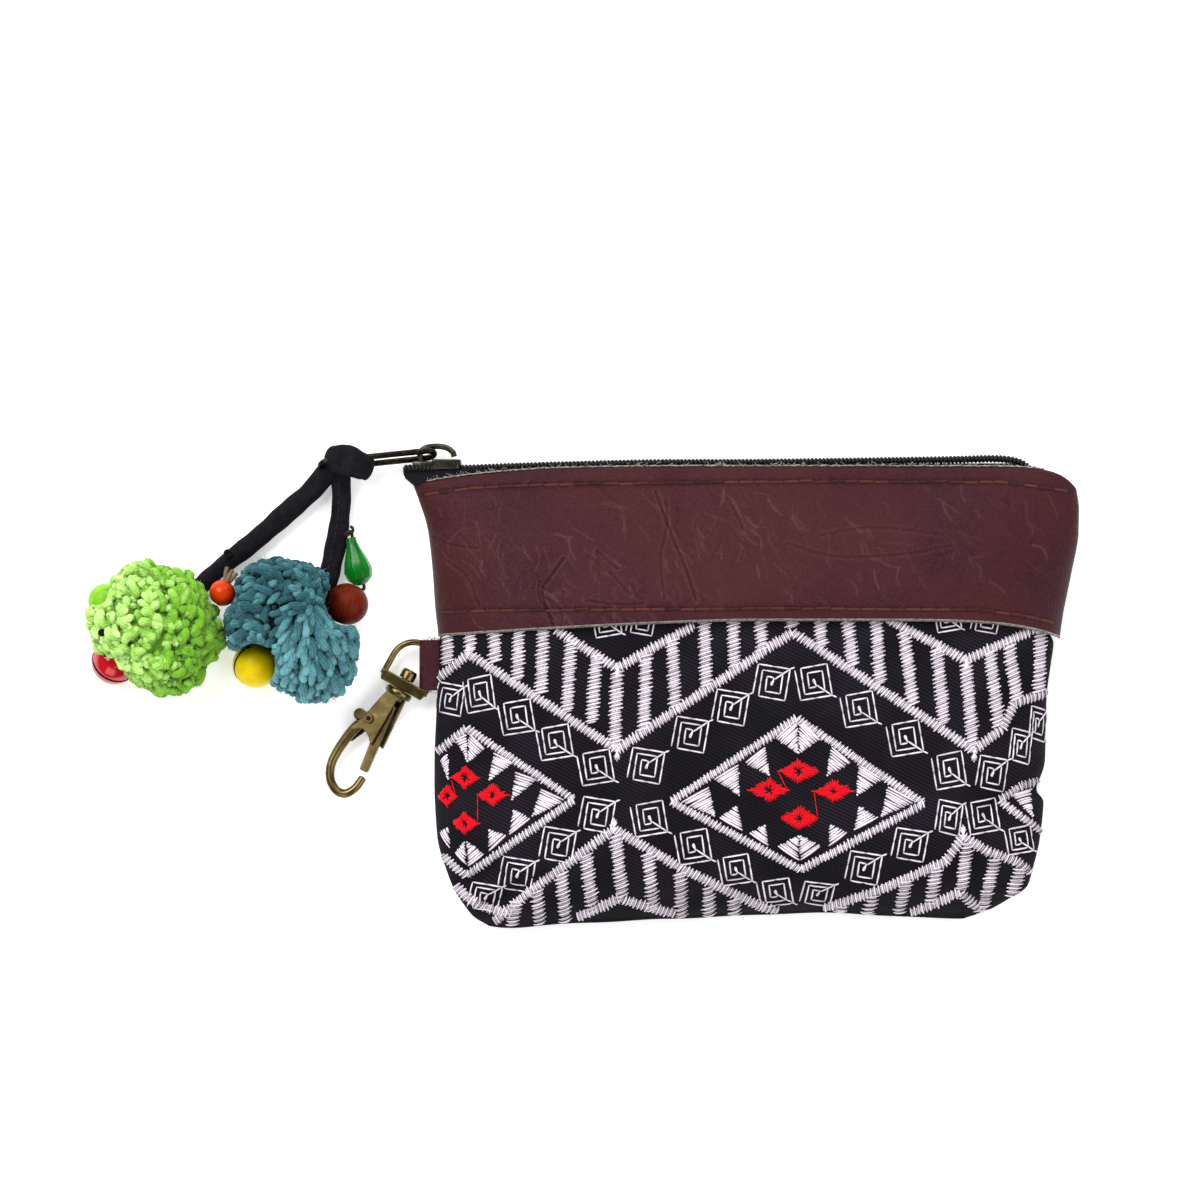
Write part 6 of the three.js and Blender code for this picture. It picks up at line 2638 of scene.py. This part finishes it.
@dataclass
class Charm:
    """Strap, pompoms, bells and beads that hang from the zip pull."""

    finishes: Finishes
    left: Points = (
        (-73.2, 43.8, 2.9), (-74.8, 42.4, 2.7), (-77.6, 39.15, 2.3), (-80.3, 36.75, 2.25), (-83.3, 34.1, 2.2),
        (-86.4, 31.35, 2.2), (-90.0, 28.3, 2.2), (-93.4, 25.65, 2.4), (-96.4, 23.2, 2.8), (-99.2, 20.6, 3.5),
        (-101.6, 16.9, 4.7),
    )
    right: Points = (
        (-71.6, 42.4, 2.8), (-71.6, 40.4, 2.5), (-71.5, 37.9, 2.3), (-71.7, 34.9, 2.2), (-72.1, 31.5, 2.2),
        (-72.7, 28.2, 2.2), (-73.4, 24.9, 2.3), (-74.2, 21.6, 2.5), (-75.6, 18.7, 3.0), (-78.4, 15.4, 3.9),
        (-81.6, 12.4, 5.1),
    )
    lime_outline: Pairs = (
        (-111.4, 25.4), (-108.0, 24.6), (-103.8, 23.5), (-100.6, 21.6), (-97.9, 18.4), (-96.9, 15.7),
        (-95.6, 12.9), (-94.9, 9.2), (-95.6, 6.9), (-98.8, 3.7), (-100.6, 0.5), (-102.9, -1.6), (-105.7, -2.1),
        (-109.3, -0.9), (-113.5, 1.4), (-114.8, 3.3), (-117.4, 6.5), (-121.3, 8.8), (-122.0, 12.9),
        (-121.6, 17.5), (-120.4, 19.6), (-117.1, 20.0), (-116.7, 22.5), (-113.9, 24.4),
    )
    teal_outline: Pairs = (
        (-87.1, 26.2), (-84.0, 25.8), (-81.2, 25.3), (-78.6, 24.9), (-76.2, 23.6), (-73.4, 22.5), (-75.0, 18.9),
        (-74.9, 17.0), (-74.0, 15.2), (-72.2, 13.5), (-68.9, 11.6), (-67.7, 9.7), (-68.0, 6.9), (-68.9, 3.3),
        (-70.6, -0.4), (-72.4, -3.0), (-75.7, -3.3), (-79.5, -3.6), (-80.9, -1.8), (-83.3, -1.1), (-85.2, 0.5),
        (-89.7, 3.7), (-92.7, 7.1), (-94.6, 8.5), (-95.0, 12.9), (-93.7, 16.1), (-94.1, 19.4), (-92.0, 22.7),
        (-89.4, 24.3),
    )

    def build(self) -> None:
        """Make the charm, and work out each strand's path and length."""
        look = self.finishes
        red = Bell(
            "red_bell_shell", Slot.RED_ENAMEL, look.red_enamel, look.bell_inside_shade, (-117.0, 4.9, 4.75),
            ((0.64, -0.75, 0.2), (-0.92, 0.34, 0.2)),
        )
        yellow = Bell(
            "yellow_bell_shell", Slot.YELLOW_ENAMEL, look.yellow_enamel, look.bell_inside_shade, (-88.7, 4.3, 4.75),
            ((-0.29, 0.8, 0.53), (-0.31, -0.91, -0.29)),
        )
        lime = Bead("lime_bead_ball", Slot.LIME_PLASTIC, look.lime_plastic, (-118.9, 17.1, 3.6), 3.5, 0.4)
        orange = Bead("orange_bead_ball", Slot.ORANGE_PLASTIC, look.orange_plastic, (-95.2, 18.7, 7.7), 2.7, 0.9)
        wood = Bead("wood_bead_ball", Slot.WOOD, look.wood, (-70.4, 16.5, 4.4), 4.3, 1.2)
        orange_ball = (*orange.middle, orange.radius, True)
        green_head = Pompom(
            "lime_pompom_yarn", "lime_pompom", Slot.LIME_YARN, look.lime_yarn, (-108.4, 11.4, 10.0), 9.6,
            self.lime_outline, 900, 21, 0.82, 2400, shade=(-0.62, 0.05, 0.05),
            clear=((*red.middle, red.radius, False), (-120.2, 18.6, 3.25, 2.3, True), orange_ball),
        )
        blue_head = Pompom(
            "teal_pompom_yarn", "teal_pompom", Slot.TEAL_YARN, look.teal_yarn, (-81.2, 11.3, 10.0), 9.6,
            self.teal_outline, 820, 22, 0.82, whorl=(-76.9, 18.6), shade=(0.1, -0.28, 0.0),
            clear=((*yellow.middle, 4.3, True), (*wood.middle, wood.radius, True), orange_ball),
        )
        Knot(look).build()
        heads = [green_head.build(), blue_head.build()]
        small = [piece.build() for piece in (red, yellow, lime, orange, wood)]
        drop = GlassDrop(look).build()
        bits, tie = Threads(look).build()
        left = Strand("strap_left_cloth", self.left, look, "strap_left", ends=(1.04, 0.78))
        right = Strand("strap_right_cloth", self.right, look, "strap_right", sewn=True, ends=(0.88, 1.06))
        left_item, right_item = left.build(), right.build()
        left_goes = (heads[0], small[0], small[2], small[3], tie)
        right_goes = (heads[1], small[1], small[4], drop, right.stitches(), bits)
        for strand, item, goes in ((left, left_item, left_goes), (right, right_item, right_goes)):
            tube = strand.tube()
            path = [tuple(point) for point in (tube.points * MM).tolist()]
            length = float(tube.lengths()[-1]) * MM
            strand.radius * 2 * MM


@dataclass
class Studio:
    """Pale floor, soft lights and the photograph's camera."""

    finishes: Finishes
    aim: Point = (-19.7, 17.3, 8.0)
    height: float = 2400.0
    lens: float = 360.0
    sensor: float = 36.0
    sky: float = 0.16
    floor_side: float = 6.0
    lights: tuple[tuple[str, Point, float, float], ...] = (
        ("key_light", (-900.0, 900.0, 1300.0), 1.2, 34.0),
        ("fill_light", (1100.0, -500.0, 1200.0), 1.4, 16.0),
        ("back_light", (500.0, 1300.0, 1000.0), 1.0, 12.0),
        ("low_light", (-600.0, -1300.0, 1000.0), 1.2, 10.0),
    )

    def floor(self) -> None:
        """Lay the floor."""
        bpy.ops.mesh.primitive_plane_add(size=self.floor_side)
        item = bpy.context.object
        item.name = "studio_floor"
        item.data.materials.append(self.finishes.floor)

    def light(self, name: str, place: Point, size: float, power: float) -> None:
        """Hang one soft light aimed at the purse.

        Args:
            name: Name of the light.
            place: Where it hangs, in millimetres.
            size: Side of the light, in metres.
            power: Strength in watts.
        """
        data = bpy.data.lights.new(name, "AREA")
        data.size = size
        data.energy = power
        item = bpy.data.objects.new(name, data)
        bpy.context.collection.objects.link(item)
        item.location = Vector(place) * MM
        away = Vector(self.aim) - Vector(place)
        item.rotation_euler = away.to_track_quat("-Z", "Y").to_euler()

    def build(self) -> None:
        """Set the floor, lights, world and camera."""
        self.floor()
        for spec in self.lights:
            self.light(*spec)
        scene = bpy.context.scene
        world = bpy.data.worlds.new("studio_world")
        world.use_nodes = True
        back = world.node_tree.nodes["Background"]
        back.inputs["Color"].default_value = (1.0, 1.0, 1.0, 1.0)
        back.inputs["Strength"].default_value = self.sky
        scene.world = world
        scene.view_settings.view_transform = "Standard"
        data = bpy.data.cameras.new("photo_camera")
        data.lens = self.lens
        data.sensor_width = self.sensor
        data.clip_start = 0.01
        camera = bpy.data.objects.new("photo_camera", data)
        bpy.context.collection.objects.link(camera)
        camera.location = Vector((self.aim[0], self.aim[1], self.aim[2] + self.height)) * MM
        scene.camera = camera


def main() -> None:
    """Build every piece in order."""
    logging.basicConfig(level=logging.INFO, format="%(message)s")
    finishes = Finishes()
    form = PurseForm()
    Studio(finishes).build()
    LOG.info("camera, lights and floor")
    parts = (
        ("charm", Charm(finishes)),
        ("cloth pouch", ClothPouch(form, finishes)),
        ("leather bands", LeatherBands(form, finishes)),
        ("zip", Zip(finishes)),
        ("side tab", SideTab(finishes)),
        ("clasp", Clasp(finishes)),
        ("embroidery", Embroidery(form, finishes)),
    )
    for name, part in parts:
        part.build()
        LOG.info(name)


if __name__ == "__main__":
    main()
